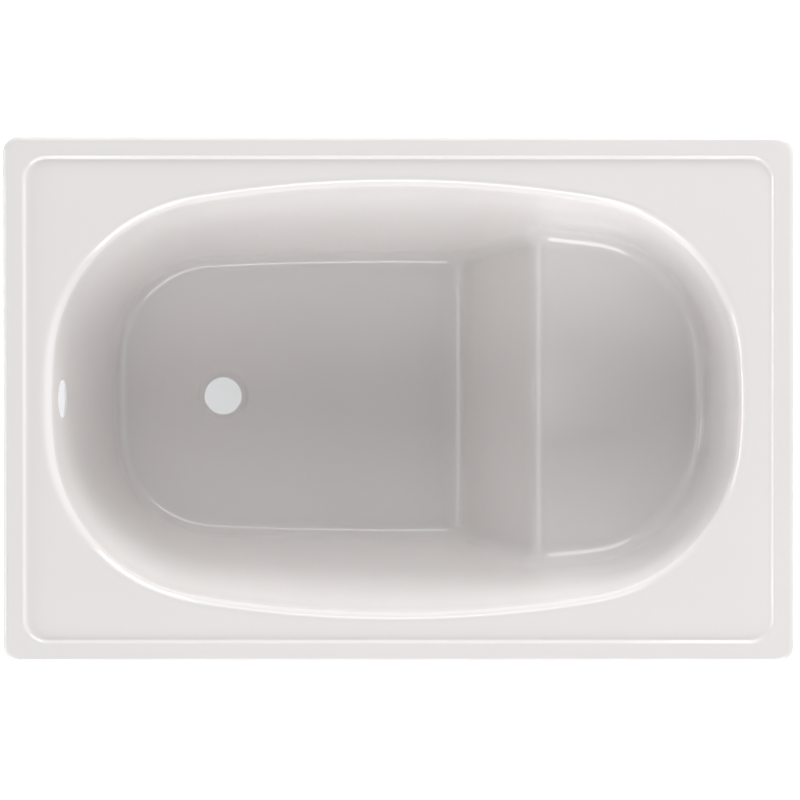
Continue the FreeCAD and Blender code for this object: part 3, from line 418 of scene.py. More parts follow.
class Draft:
    """Points and faces that are gathered before they become one mesh, in millimetres."""

    def __init__(self) -> None:
        """Starts with nothing."""
        self.points: list = []
        self.faces: list = []
        self.count = 0

    @property
    def known(self) -> np.ndarray:
        """All points so far."""
        return np.concatenate(self.points)

    def place(self, points, level=None) -> np.ndarray:
        """Adds points.

        Args:
            points: an array of them, one a row.
            level: the height or heights of plan points, or None if the points have theirs.

        Returns:
            Their numbers, in the array's shape.
        """
        points = np.asarray(points, float)
        if level is not None:
            points = np.column_stack([points, np.broadcast_to(level, len(points))])
        flat = points.reshape(-1, 3)
        numbers = np.arange(self.count, self.count + len(flat)).reshape(points.shape[:-1])
        self.points.append(flat)
        self.count += len(flat)
        return numbers

    def weave(self, rows, closed: bool = True) -> None:
        """Quads between rows of numbers; a face's front is on the left of going along and then up the rows.

        Args:
            rows: the numbers, one row after another.
            closed: whether a row's end meets its start.
        """
        rows = np.asarray(rows)
        following = np.roll(rows, -1, axis=1)
        width = rows.shape[1] if closed else rows.shape[1] - 1
        quads = np.stack([rows[:-1], following[:-1], following[1:], rows[1:]], axis=-1)[:, :width].reshape(-1, 4)
        for quad in quads.tolist():
            face = tuple(dict.fromkeys(quad))
            if len(face) > 2:
                self.faces.append(face)

    def fill(self, outer, inner=(), extra=(), level=None) -> None:
        """Triangles over the plan inside a closed row, facing up.

        Args:
            outer: numbers of the row.
            inner: numbers of a closed row that is left open, or nothing.
            extra: further plan points inside the row.
            level: the height or heights of those points.
        """
        numbers, rim, hole = [*outer, *inner], len(outer), len(inner)
        plan = [Vector(point[:2]) for point in (*self.known[numbers], *extra)]
        edges = [(i, (i + 1) % rim) for i in range(rim)] + [(rim + i, rim + (i + 1) % hole) for i in range(hole)]
        _, _, found, origin, _, _ = delaunay_2d_cdt(plan, edges, [], 1, 1e-6)
        if len(extra):
            numbers += list(self.place(extra, level))
        for face in found:
            old = [origin[i][0] for i in face]
            if all(rim <= i < rim + hole for i in old):
                continue
            a, b, c = (plan[i] for i in old)
            old = old if (b - a).cross(c - a) > 0 else old[::-1]
            self.faces.append(tuple(int(numbers[i]) for i in old))

    def mesh(self, *materials: Material) -> Mesh:
        """Makes the mesh, in metres, smooth, without loose points, in the finishes given."""
        used = np.zeros(self.count, bool)
        for face in self.faces:
            used[list(face)] = True
        number = (np.cumsum(used) - 1).tolist()
        mesh = bpy.data.meshes.new("draft")
        faces = [tuple(number[i] for i in face) for face in self.faces]
        mesh.from_pydata((self.known[used] * MM).tolist(), [], faces)
        mesh.update()
        for material in materials:
            mesh.materials.append(material)
        mesh.shade_smooth()
        return mesh


def smooth(share: np.ndarray) -> np.ndarray:
    """A soft step from 0 to 1 over a share of 0 to 1, flat at both ends."""
    share = np.clip(share, 0.0, 1.0)
    return share * share * share * (share * (share * 6 - 15) + 10)


def around(turn: np.ndarray) -> np.ndarray:
    """Points of a circle of radius 1 at angles."""
    return np.column_stack([np.cos(turn), np.sin(turn)])


def circle(points: int) -> np.ndarray:
    """A whole circle of radius 1, counter-clockwise."""
    return around(np.linspace(0, math.tau, points + 1)[:-1])


def oblong(half_x: float, half_y: float, radius: float, arc: int, runs: tuple = (1, 1)) -> np.ndarray:
    """Plan of a rounded oblong about the origin, counter-clockwise from above.

    Args:
        half_x: half its length.
        half_y: half its width.
        radius: of its corners.
        arc: parts of each corner.
        runs: parts of the long and of the short sides.

    Returns:
        The points.
    """
    corner = around(np.linspace(0, QUARTER, arc + 1)) * radius
    cx, cy = half_x - radius, half_y - radius
    across = corner[:, ::-1]
    corners = (corner + (cx, cy), across * (-1, 1) + (-cx, cy), -corner + (-cx, -cy), across * (1, -1) + (cx, -cy))
    parts = []
    for i, steps in enumerate((*runs, *runs)):
        last, following = corners[i][-1], corners[(i + 1) % 4][0]
        share = (np.arange(1, steps) / steps)[:, None]
        parts += [corners[i], last + (following - last) * share]
    return np.concatenate(parts)


# The pressing.


@dataclass
class Pressing:
    """The enamelled steel pressing: turned-down rim, deck, oval basin, step seat and two holes.

    Sizes are in millimetres, named as the part's source names them.
    """

    length: float = 1050
    width: float = 700
    top: float = 560
    wall: float = 2.4
    lip_width: float = 28
    lip_rise: float = 4
    lip_run: float = 8
    rim_corner: float = 22
    lip_corner: float = 30
    rim_edge: float = 8
    skirt_drop: float = 32
    skirt_return: float = 9
    return_bend: float = 4.5
    basin_depth: float = 385
    seat_height: float = 150
    mouth_middle: float = -4
    mouth_reach: float = 458
    mouth_half_width: float = 285
    mouth_shares: tuple = (0.235, 0.79, 0.195)
    mouth_bend: float = 16
    wall_bow: float = 0.75
    base_half_width: float = 198
    foot_reach: float = 397
    back_reach: float = 396
    foot_shares: tuple = (0.067, 0.70, 0.148)
    back_shares: tuple = (0.106, 0.66, 0.16)
    riser_foot: float = 90.12
    nosing: float = 190.56
    riser_bend: float = 60
    nosing_bend: float = 45
    floor_bend: float = 18
    seat_bend: float = 24
    seat_bend_run: float = 60
    waste_x: float = -246.875
    waste_hole: float = 26
    dish_depth: float = 3.5
    dish_inner: float = 30.8
    dish_outer: float = 37.4
    waste_field: float = 48
    overflow_hole: float = 26
    overflow_level: float = 480
    patch_half: float = 44
    patch_step: float = 8
    arc_columns: tuple = (44, 40, 24)
    sheet_bevel: tuple = (0.6, 3, 55)
    bend_rows: int = 10
    wall_rows: int = 10
    settling: int = 60
    guard: float = 1.2
    margin: float = 1.5
    hole_columns: int = 96
    hole_rings: tuple = (0.3, 0.55, 0.75, 0.9, 0.965, 1.0)
    plain_lines: tuple = (-390, 396, 13.0)
    bend_lines: tuple = ((57, 109, 2.2), (176, 216, 2.0))
    line_gap: float = 3.5
    cross_lines: tuple = (-195, 196, 10.0)
    wall_gap: float = 4
    field_gap: float = 5

    @property
    def deck(self) -> float:
        """Level of the deck."""
        return self.top - self.lip_rise

    @property
    def floor(self) -> float:
        """Level of the foot well's floor."""
        return self.top - self.basin_depth

    @property
    def seat(self) -> float:
        """Level of the seat."""
        return self.floor + self.seat_height

    def oval_quarter(self, half_width: float, reach: float, shares: tuple) -> np.ndarray:
        """A quarter of an oval, of three arcs that run into each other.

        Args:
            half_width: from the middle to the side, where it starts.
            reach: from the middle to the end, where it stops.
            shares: the side arc's fall, the corner arc's radius and the end arc's fall, as shares.

        Returns:
            The points.
        """
        side, end = reach**2 / (2 * shares[0] * half_width), half_width / (2 * shares[2])
        corner = shares[1] * half_width
        side_centre, end_centre = np.array([0.0, half_width - side]), np.array([reach - end, 0.0])
        apart = end_centre - side_centre
        distance = np.hypot(*apart)
        along = (distance**2 + (side - corner) ** 2 - (end - corner) ** 2) / (2 * distance)
        across = math.sqrt((side - corner) ** 2 - along**2)
        step = apart / distance
        centre = side_centre + along * step + across * np.array([step[1], -step[0]])
        lean = math.atan2(*(centre - side_centre)[::-1])
        low = math.atan2(*(centre - end_centre)[::-1])
        spans = ((side_centre, side, QUARTER, lean), (centre, corner, lean, low), (end_centre, end, low, 0.0))
        arcs = [
            middle + radius * around(start + (stop - start) * np.arange(columns) / columns)
            for (middle, radius, start, stop), columns in zip(spans, self.arc_columns)
        ]
        return np.concatenate([*arcs, [[reach, 0.0]]])

    def oval(self, middle: float, half_width: float, foot: tuple, back: tuple) -> np.ndarray:
        """A whole oval, counter-clockwise from its back end; each half is given by its reach and shares."""
        near, far = self.oval_quarter(half_width, *back), self.oval_quarter(half_width, *foot)
        quarters = (near[::-1], far * (-1, 1), far[::-1] * (-1, -1), near * (1, -1))
        return np.concatenate([quarter[:-1] for quarter in quarters]) + (middle, 0)

    def bottom(self, x: np.ndarray) -> np.ndarray:
        """Height of floor, riser and seat at places lengthwise, with the two long bends."""
        slope = math.atan2(self.seat_height, self.nosing - self.riser_foot)
        toe, brow = self.riser_bend * math.tan(slope / 2), self.nosing_bend * math.tan(slope / 2)
        toe_start, toe_stop = self.riser_foot - toe, self.riser_foot + toe * math.cos(slope)
        brow_start, brow_stop = self.nosing - brow * math.cos(slope), self.nosing + brow
        rising = self.floor + (x - self.riser_foot) * math.tan(slope)
        reach = np.clip(x - toe_start, 0, self.riser_bend)
        hollow = self.floor + self.riser_bend - np.sqrt(self.riser_bend**2 - reach**2)
        back = np.clip(brow_stop - x, 0, self.nosing_bend)
        crown = self.seat - self.nosing_bend + np.sqrt(self.nosing_bend**2 - back**2)
        height = np.where(x > brow_start, crown, np.where(x < toe_stop, hollow, rising))
        return np.where(x > brow_stop, self.seat, np.where(x < toe_start, self.floor, height))

    def bottom_lines(self) -> np.ndarray:
        """Places lengthwise at which the bottom gets points, close together over its bends."""
        bends = np.concatenate([np.arange(*lines) for lines in self.bend_lines])
        plain = np.arange(*self.plain_lines)
        plain = plain[np.min(np.abs(plain[:, None] - bends[None, :]), axis=1) > self.line_gap]
        return np.sort(np.concatenate([plain, bends]))

    def rim_path(self) -> list:
        """Section of the rim, from the return's free edge over skirt and lip to the deck.

        Returns:
            Inset from the outer side, and level, one a row.
        """
        top, bend, edge, guard = self.top, self.return_bend, self.rim_edge, self.guard
        low = top - self.skirt_drop
        rows = [(self.skirt_return, low), (bend + guard, low)]
        for turn in np.linspace(0, QUARTER, 6):
            rows.append((bend - bend * math.sin(turn), low + bend - bend * math.cos(turn)))
        rows += [(0, low + bend + guard), (0, (low + top) / 2), (0, top - edge - guard)]
        for turn in np.linspace(0, QUARTER, 10):
            rows.append((edge - edge * math.cos(turn), top - edge + edge * math.sin(turn)))
        start = self.lip_width + 0.5 - self.lip_run / 2
        stop = start + self.lip_run
        rows += [(edge + guard, top), ((edge + start) / 2, top), (start - guard, top)]
        tilt = 2 * math.atan2(self.lip_rise, self.lip_run)
        radius = self.lip_rise / (2 * (1 - math.cos(tilt)))
        turns = np.linspace(0, tilt, 7)
        rows += [(start + radius * math.sin(turn), top - radius + radius * math.cos(turn)) for turn in turns]
        turns = np.linspace(tilt, 0, 7)[1:]
        rows += [(stop - radius * math.sin(turn), self.deck + radius - radius * math.cos(turn)) for turn in turns]
        return [*rows, (stop + self.margin, self.deck)]

    def draw_rim(self, draft: Draft) -> np.ndarray:
        """Adds the rim and gives its last row, on the deck."""
        rows = []
        for inset, level in self.rim_path():
            radius = self.rim_corner + (self.lip_corner - self.rim_corner) * inset / self.lip_width
            plan = oblong(self.length / 2 - inset, self.width / 2 - inset, radius, 20, (22, 14))
            rows.append(draft.place(plan, level))
        draft.weave(rows)
        return rows[-1]

    def columns(self) -> tuple:
        """Mouth points, plan direction of fall, and run from mouth to base, for each wall column."""
        ends = (self.mouth_reach, self.mouth_shares)
        mouth = self.oval(self.mouth_middle, self.mouth_half_width, ends, ends)
        foot, back = (self.foot_reach, self.foot_shares), (self.back_reach, self.back_shares)
        base = self.oval(0.0, self.base_half_width, foot, back)
        run = np.hypot(*(base - mouth).T)
        return mouth, (base - mouth) / run[:, None], run

    def fallen(self, run: np.ndarray, level):
        """How far inwards each wall column is at a level; the walls bow outwards a little."""
        share = (self.deck - level) / (self.deck - self.floor)
        return run * share * (self.wall_bow + (1 - self.wall_bow) * share)

    def slant(self, run: np.ndarray, level):
        """Way inwards for each millimetre down, for each wall column at a level."""
        share = (self.deck - level) / (self.deck - self.floor)
        return run * (self.wall_bow + 2 * (1 - self.wall_bow) * share) / (self.deck - self.floor)

    def bend_section(self, run: np.ndarray) -> tuple:
        """Rows of the mouth's bend for each column: distance inwards and level."""
        turn = QUARTER - np.arctan(self.slant(run, self.deck))
        tangent = self.mouth_bend * np.tan(turn / 2)
        inward, level = [-tangent - self.margin], [self.deck]
        for share in np.linspace(0, 1, self.bend_rows):
            inward.append(-tangent + self.mouth_bend * np.sin(turn * share))
            level.append(self.deck - self.mouth_bend + self.mouth_bend * np.cos(turn * share))
        return inward, level

    def fillet_section(self, mouth: np.ndarray, way: np.ndarray, run: np.ndarray) -> tuple:
        """Rows of the bend between wall and bottom for each column: distance inwards and level."""
        radius = np.full(len(run), self.floor_bend)
        for _ in range(2):
            inward, level = [], []
            for turn in np.linspace(0, QUARTER, self.bend_rows + 2):
                height, distance = np.full(len(run), float(self.seat)), run
                for _ in range(self.settling):
                    x = mouth[:, 0] + way[:, 0] * distance
                    flat = 1 / np.sqrt(1 + (self.bottom(x + 0.5) - self.bottom(x - 0.5)) ** 2)
                    wanted = self.bottom(x) + radius * (1 - math.sin(turn)) / flat
                    height = 0.5 * height + 0.5 * wanted
                    stretch = np.sqrt(1 + self.slant(run, height) ** 2)
                    distance = self.fallen(run, height) + radius * (1 - math.cos(turn)) * stretch
                inward.append(distance)
                level.append(height)
            x = mouth[:, 0] + way[:, 0] * inward[0]
            share = smooth((x - self.riser_foot) / (self.nosing + self.seat_bend_run - self.riser_foot))
            radius = self.floor_bend + (self.seat_bend - self.floor_bend) * share
        inward.append(inward[-1] + self.margin)
        level.append(self.bottom(mouth[:, 0] + way[:, 0] * inward[-1]))
        return inward, level

    def draw_basin(self, draft: Draft) -> tuple:
        """Adds mouth bend, walls and bottom bend, with the overflow hole.

        Returns:
            The rows that meet the deck and the bottom.
        """
        mouth, way, run = columns = self.columns()
        inward, level = self.bend_section(run)
        low_inward, low_level = self.fillet_section(*columns)
        top, low = self.overflow_level + self.patch_half, self.overflow_level - self.patch_half
        upper = np.arange(top, low - 1, -self.patch_step)
        steps = np.arange(1, self.wall_rows) / self.wall_rows
        for z in (*upper, *(upper[-1] + (low_level[0] - upper[-1]) * step for step in steps)):
            inward.append(self.fallen(run, z))
            level.append(z)
        sections = zip(inward + low_inward, level + low_level)
        rows = np.array([draft.place(mouth + way * distance[:, None], height) for distance, height in sections])
        first = 1 + self.bend_rows
        self.weave_around_overflow(draft, rows, first, first + len(upper) - 1, *columns)
        return rows[0], rows[-1]

    def weave_around_overflow(self, draft: Draft, rows: np.ndarray, first: int, last: int, mouth, way, run) -> None:
        """Weaves the basin's rows and leaves the overflow hole in the foot-end wall.

        Args:
            draft: where the faces go.
            rows: numbers of the basin's rows.
            first: the row that the hole's patch starts at.
            last: the row that it stops at.
            mouth: mouth points of the wall columns.
            way: their plan directions of fall.
            run: their runs from mouth to base.
        """
        points = draft.known
        middle = int(np.argmin(mouth[:, 0] + 0.001 * np.abs(mouth[:, 1])))
        reach = 1
        while abs(points[rows[(first + last) // 2][middle + reach]][1]) < self.patch_half:
            reach += 1
        left, right = middle - reach, middle + reach
        draft.weave(rows[: first + 1])
        draft.weave(rows[last:])
        band = rows[first : last + 1]
        draft.weave(np.concatenate([band[:, right:], band[:, : left + 1]], axis=1), closed=False)
        edge = np.concatenate([band[0, left:right], band[:-1, right], band[-1, right:left:-1], band[:0:-1, left]])
        lean = math.cos(math.atan(self.slant(run[middle], self.overflow_level)))
        square = np.column_stack([points[edge][:, 1], (points[edge][:, 2] - self.overflow_level) / lean])
        hole = around(np.arctan2(square[:, 1], square[:, 0])) * self.overflow_hole
        near = slice(left - 1, right + 2)
        rings = [edge]
        for share in self.hole_rings:
            ring = []
            for y, along in square + (hole - square) * share:
                z = self.overflow_level + along * lean
                line = mouth[near] + way[near] * self.fallen(run[near], z)[:, None]
                ring.append((np.interp(-y, -line[:, 1], line[:, 0]), y, z))
            rings.append(draft.place(ring))
        draft.weave(rings)

    def draw_bottom(self, draft: Draft, outer: np.ndarray) -> None:
        """Adds floor, riser and seat inside the bottom bend, down to the waste hole."""
        dish = np.linspace(self.dish_outer, self.dish_inner, 12)
        radii = [self.waste_field, self.dish_outer + self.margin, *dish, self.dish_inner - self.guard]
        rings = []
        for radius in (*radii, self.waste_hole + 1.0, self.waste_hole):
            sunk = self.dish_depth * smooth((self.dish_outer - radius) / (self.dish_outer - self.dish_inner))
            rings.append(draft.place(circle(self.hole_columns) * radius + (self.waste_x, 0), self.floor - sunk))
        draft.weave(rings)
        loop = draft.known[outer][:, :2]
        bearing, reach = np.arctan2(loop[:, 1], loop[:, 0]), np.hypot(*loop.T)
        order = np.argsort(bearing)
        extra = []
        for x in self.bottom_lines():
            for y in np.arange(*self.cross_lines):
                limit = np.interp(math.atan2(y, x), bearing[order], reach[order], period=math.tau) - self.wall_gap
                from_waste = math.hypot(x - self.waste_x, y)
                if math.hypot(x, y) < limit and from_waste > self.waste_field + self.field_gap:
                    extra.append((x, y))
        draft.fill(outer, rings[0], extra, self.bottom(np.array(extra)[:, 0]))

    def build(self, finishes: Finishes) -> None:
        """Builds the pressing as one closed piece, in the place of its solid."""
        draft = Draft()
        deck_row = self.draw_rim(draft)
        mouth_row, base_row = self.draw_basin(draft)
        draft.fill(deck_row, mouth_row)
        self.draw_bottom(draft, base_row)
        sheet = gauge(self.wall, offset=-1, use_quality_normals=True, material_offset=1)
        mesh = reworked(draft.mesh(finishes.enamel, finishes.ground), sheet, bevel(*self.sheet_bevel))
        into_bath(linked("bath_pressing", mesh), "bath_shell")


# Repeated pieces.


class NodeRecipe(Graph):
    """A geometry node tree with named inputs, one of them the finish."""

    def __init__(self, name: str, inputs: dict) -> None:
        """Starts the tree, with kinds of its inputs by name."""
        super().__init__(bpy.data.node_groups.new(name, "GeometryNodeTree"))
        new_socket = self.tree.interface.new_socket
        self.sockets = {
            label: new_socket(name=label, in_out="INPUT", socket_type=f"NodeSocket{kind}").identifier
            for label, kind in {**inputs, "Finish": "Material"}.items()
        }
        new_socket(name="Geometry", in_out="OUTPUT", socket_type="NodeSocketGeometry")
        self.source = self.add("NodeGroupInput")

    def ended(self, geometry: Node) -> "NodeRecipe":
        """Ends the tree in real geometry with the piece's finish."""
        real = self.add("GeometryNodeRealizeInstances", Geometry=geometry)
        self.add("NodeGroupOutput", in0=self.add("GeometryNodeSetMaterial", Geometry=real, Material="Finish"))
        return self

    def mesh(self, values: dict) -> Mesh:
        """Runs the tree with values for its inputs, by name, and gives its result as a plain mesh."""
        seed = linked("recipe", bpy.data.meshes.new("recipe"))
        modifier = seed.modifiers.new("recipe", "NODES")
        modifier.node_group = self.tree
        for name, value in values.items():
            modifier[self.sockets[name]] = value
        return plain_mesh(seed)


def thread_recipe() -> NodeRecipe:
    """A right-handed thread: one ribbon, root to crest to root, wound up the shank, low at both ends."""
    crest_half, crest_share, fade_rate = 0.3, 0.62, 1.2
    recipe = NodeRecipe("screw_thread", {
        "Root Radius": "Float", "Depth": "Float", "Pitch": "Float", "Turns": "Float", "Segments": "Int",
        "Base": "Vector",
    })
    add, reckon = recipe.add, recipe.reckon
    length = reckon("MULTIPLY_ADD", "Turns", "Segments", 1.0)
    grid = add("GeometryNodeMeshGrid", Size_X=1.0, Size_Y=1.0, Vertices_X=length, Vertices_Y=4)
    along, across, _ = add("ShaderNodeSeparateXYZ", in0=add("GeometryNodeInputPosition")).outputs
    turned = reckon("MULTIPLY", reckon("ADD", along, 0.5), "Turns")
    from_end = reckon("MINIMUM", turned, reckon("SUBTRACT", "Turns", turned))
    fade = reckon("MINIMUM", reckon("MULTIPLY", from_end, fade_rate), 1.0)
    crest = reckon("LESS_THAN", reckon("ABSOLUTE", across), crest_half)
    height = reckon("MULTIPLY", reckon("MULTIPLY", crest, fade), "Depth")
    radius = reckon("ADD", "Root Radius", height)
    narrow = reckon("SUBTRACT", 1.0, reckon("MULTIPLY", crest, crest_share))
    rise = reckon("MULTIPLY", reckon("ADD", turned, reckon("MULTIPLY", across, narrow)), "Pitch")
    angle = reckon("MULTIPLY", turned, math.tau)
    x, y = (reckon("MULTIPLY", radius, reckon(wave, angle)) for wave in ("COSINE", "SINE"))
    spot = add("ShaderNodeCombineXYZ", X=x, Y=y, Z=rise)
    based = add("ShaderNodeVectorMath", operation="ADD", in0=spot, in1="Base")
    moved = add("GeometryNodeSetPosition", Geometry=grid, Position=based)
    return recipe.ended(add("GeometryNodeMergeByDistance", Geometry=moved, Distance=1e-5))


def row_recipe() -> NodeRecipe:
    """Copies of one piece in a straight row."""
    kinds = {"Piece": "Object", "Count": "Int", "Start": "Vector", "Step": "Vector"}
    recipe = NodeRecipe("row_of_pieces", kinds)
    line = recipe.add("GeometryNodeMeshLine", Count="Count", Start_Location="Start", Offset="Step")
    piece = recipe.add("GeometryNodeObjectInfo", Object="Piece").outputs["Geometry"]
    return recipe.ended(recipe.add("GeometryNodeInstanceOnPoints", Points=line, Instance=piece))


def spoke_recipe() -> NodeRecipe:
    """Copies of one piece turned evenly about a vertical axis."""
    recipe = NodeRecipe("spokes", {"Piece": "Object", "Count": "Int", "Middle": "Vector"})
    line = recipe.add("GeometryNodeMeshLine", Count="Count", Start_Location="Middle", Offset=(0, 0, 0))
    index = recipe.add("GeometryNodeInputIndex")
    turn = recipe.reckon("DIVIDE", recipe.reckon("MULTIPLY", index, math.tau), "Count")
    angles = recipe.add("ShaderNodeCombineXYZ", Z=turn)
    piece = recipe.add("GeometryNodeObjectInfo", Object="Piece").outputs["Geometry"]
    copies = recipe.add("GeometryNodeInstanceOnPoints", Points=line, Instance=piece, Rotation=angles)
    return recipe.ended(copies)


def bead_recipe() -> NodeRecipe:
    """A weld bead: overlapping drops of uneven size along a rounded square."""
    recipe = NodeRecipe("weld_bead", {
        "Size": "Float", "Corner": "Float", "Count": "Int", "Radius": "Float", "Middle": "Vector",
    })
    square = recipe.add("GeometryNodeCurvePrimitiveQuadrilateral", Width="Size", Height="Size")
    bent = recipe.add("GeometryNodeFilletCurve")
    if "Mode" in bent.inputs:
        bent.inputs["Mode"].default_value = "Poly"
    else:
        bent.mode = "POLY"
    recipe.put(bent, Curve=square, Radius="Corner", Count=6)
    points = recipe.add("GeometryNodeCurveToPoints", Curve=bent, Count="Count")
    drop = recipe.add("GeometryNodeMeshUVSphere", Segments=8, Rings=5, Radius="Radius")
    size = recipe.add("FunctionNodeRandomValue", data_type="FLOAT", Seed=7)
    low, high = (socket for socket in size.inputs if socket.enabled and socket.name in ("Min", "Max"))
    low.default_value, high.default_value = 0.85, 1.1
    grown = next(socket for socket in size.outputs if socket.enabled)
    copies = recipe.add("GeometryNodeInstanceOnPoints", Points=points, Instance=drop, Scale=grown)
    return recipe.ended(recipe.add("GeometryNodeTransform", Geometry=copies, Translation="Middle"))


@dataclass
class Workshop:
    """The bath's materials and model, and the shared recipes."""

    finishes: Finishes
    modelled: dict
    thread: NodeRecipe = field(default_factory=thread_recipe)
    row: NodeRecipe = field(default_factory=row_recipe)
    spokes: NodeRecipe = field(default_factory=spoke_recipe)
    bead: NodeRecipe = field(default_factory=bead_recipe)

    def dress(self, name: str, material: Material) -> None:
        """Gives a carried-over piece of the model a finish."""
        mesh = self.modelled[name].data
        mesh.materials.clear()
        mesh.materials.append(material)
        LOG.info("dressed %s in %s", name, material.name)

    def copies(self, recipe: NodeRecipe, piece: Mesh, material: Material, **values) -> Mesh:
        """Runs a recipe that repeats a piece, with its other inputs by name."""
        master = linked("master", piece)
        made = recipe.mesh({"Piece": master, "Finish": material, **values})
        bpy.data.objects.remove(master)
        return made

    def ribbon(self, radius: float, pitch: float, start: float, stop: float) -> Mesh:
        """A thread's ribbon round the Z axis, by its outside radius and pitch, from one level to another."""
        depth = THREAD_DEPTH * pitch
        return self.thread.mesh({
            "Root Radius": (radius - depth) * MM, "Depth": depth * MM, "Pitch": pitch * MM,
            "Turns": (stop - start) / pitch, "Segments": THREAD_PARTS, "Base": metres(0, 0, start),
            "Finish": self.finishes.bright,
        })


# Turned and bent pieces.


def softened(draft: Draft, width: float, material: Material, crease: float = CREASE) -> Mesh:
    """A drafted piece with bevels, in millimetres, on edges of more than a crease in degrees."""
    mesh = reworked(draft.mesh(material), bevel(width, 2, crease))
    mesh.set_sharp_from_angle(angle=math.radians(crease))
    return mesh


def gather(name: str, meshes: list, stands_for: str, body: str = "bath") -> None:
    """Joins meshes into one piece of the bath.

    Args:
        name: the piece's name.
        meshes: what it is made of.
        stands_for: the solid that it replaces.
        body: the body it moves with.
    """
    points, faces, materials, index = [], [], [], []
    for mesh in meshes:
        count = len(points)
        points += [tuple(v.co) for v in mesh.vertices]
        plain = next(m for m in mesh.materials if m is not None)
        local = [m or plain for m in mesh.materials]
        materials += [m for m in dict.fromkeys(local) if m not in materials]
        for face in mesh.polygons:
            faces.append([v + count for v in face.vertices])
            index.append(materials.index(local[face.material_index]))
    joined = bpy.data.meshes.new(name)
    joined.from_pydata(points, [], faces)
    for material in materials:
        joined.materials.append(material)
    joined.polygons.foreach_set("material_index", index)
    joined.shade_smooth()
    joined.set_sharp_from_angle(angle=math.radians(CREASE))
    joined.update()
    into_bath(linked(name, joined), stands_for, body)


def lathe(profile: list, flats: float = 0.0, columns: int = 48) -> Draft:
    """A turned piece about the Z axis; a profile that ends off the axis makes a ring.

    Args:
        profile: rows of radius and level, from the bottom's middle out, up and back in; a third entry of 1 or -1
            makes a row follow the hexagon and says which way its chamfer falls.
        flats: the hexagon's width across flats.
        columns: points round the axis, a multiple of 12.

    Returns:
        The piece.
    """
    draft, rows = Draft(), []
    turn = np.linspace(0, math.tau, columns + 1)[:-1]
    hexagon = flats / 2 / np.cos(np.mod(turn, math.pi / 3) - math.pi / 6)
    for radius, level, *chamfer in profile:
        if chamfer:
            level = level - chamfer[0] * CHAMFER_SLOPE * np.maximum(hexagon - radius, 0)
            rows.append(draft.place(around(turn) * hexagon[:, None], level))
        elif radius:
            rows.append(draft.place(around(turn) * radius, level))
        else:
            rows.append(np.repeat(draft.place([(0, 0, level)]), columns))
    draft.weave([*rows, rows[0]] if profile[-1][0] else rows)
    return draft


def wrench_rows(flats: float, low: float, high: float) -> list:
    """Rows of a hexagon with both faces chamfered."""
    rim = flats * CHAMFER_START
    return [(rim, low), (rim, low, -1), (rim, high, 1), (rim, high)]


def nut(flats: float, height: float, bore: float, columns: int = 48) -> Draft:
    """A hexagon nut with both faces chamfered and its bore countersunk."""
    rows, wide, sink = wrench_rows(flats, 0, height), bore + NUT_SINK, NUT_SINK
    return lathe([(bore, sink), (wide, 0), *rows, (wide, height), (bore, height - sink)], flats, columns)


def washer(outer: float, bore: float, thickness: float, columns: int = 48) -> Draft:
    """A stamped washer."""
    return lathe([(bore, 0), (outer, 0), (outer, thickness), (bore, thickness)], columns=columns)


def folded(corners: list, radius: float, steps: int = 5) -> np.ndarray:
    """A strip's line with its corners bent.

    Args:
        corners: the line's points, in a plane.
        radius: of the bends.
        steps: parts of each bend.

    Returns:
        The line's points.
    """
    corners = [np.array(c, float) for c in corners]
    line = [corners[0]]
    for before, corner, after in zip(corners, corners[1:], corners[2:]):
        back = (before - corner) / np.linalg.norm(before - corner)
        ahead = (after - corner) / np.linalg.norm(after - corner)
        half = math.acos(np.clip(back @ ahead, -1, 1)) / 2
        tangent = radius / math.tan(half)
        middle = corner + (back + ahead) / np.linalg.norm(back + ahead) * radius / math.sin(half)
        start, stop = corner + back * tangent - middle, corner + ahead * tangent - middle
        sweep = math.pi - 2 * half
        for share in np.linspace(0, 1, steps + 1):
            blend = (math.sin((1 - share) * sweep) * start + math.sin(share * sweep) * stop) / math.sin(sweep)
            line.append(middle + blend)
    return np.array([*line, corners[-1]])


def strip(line: np.ndarray, x: float, level: float, stations: np.ndarray, wall: float, material: Material) -> Mesh:
    """A bent strip across the bath, by its line's section, the section's origin, and its stations and wall."""
    draft = Draft()
    draft.weave([draft.place([(x + dx, y, level + dz) for dx, dz in line]) for y in stations], closed=False)
    return reworked(draft.mesh(material), gauge(wall, offset=0), bevel(0.3, 2, SOFT_EDGE))


# Legs, mats and earthing.


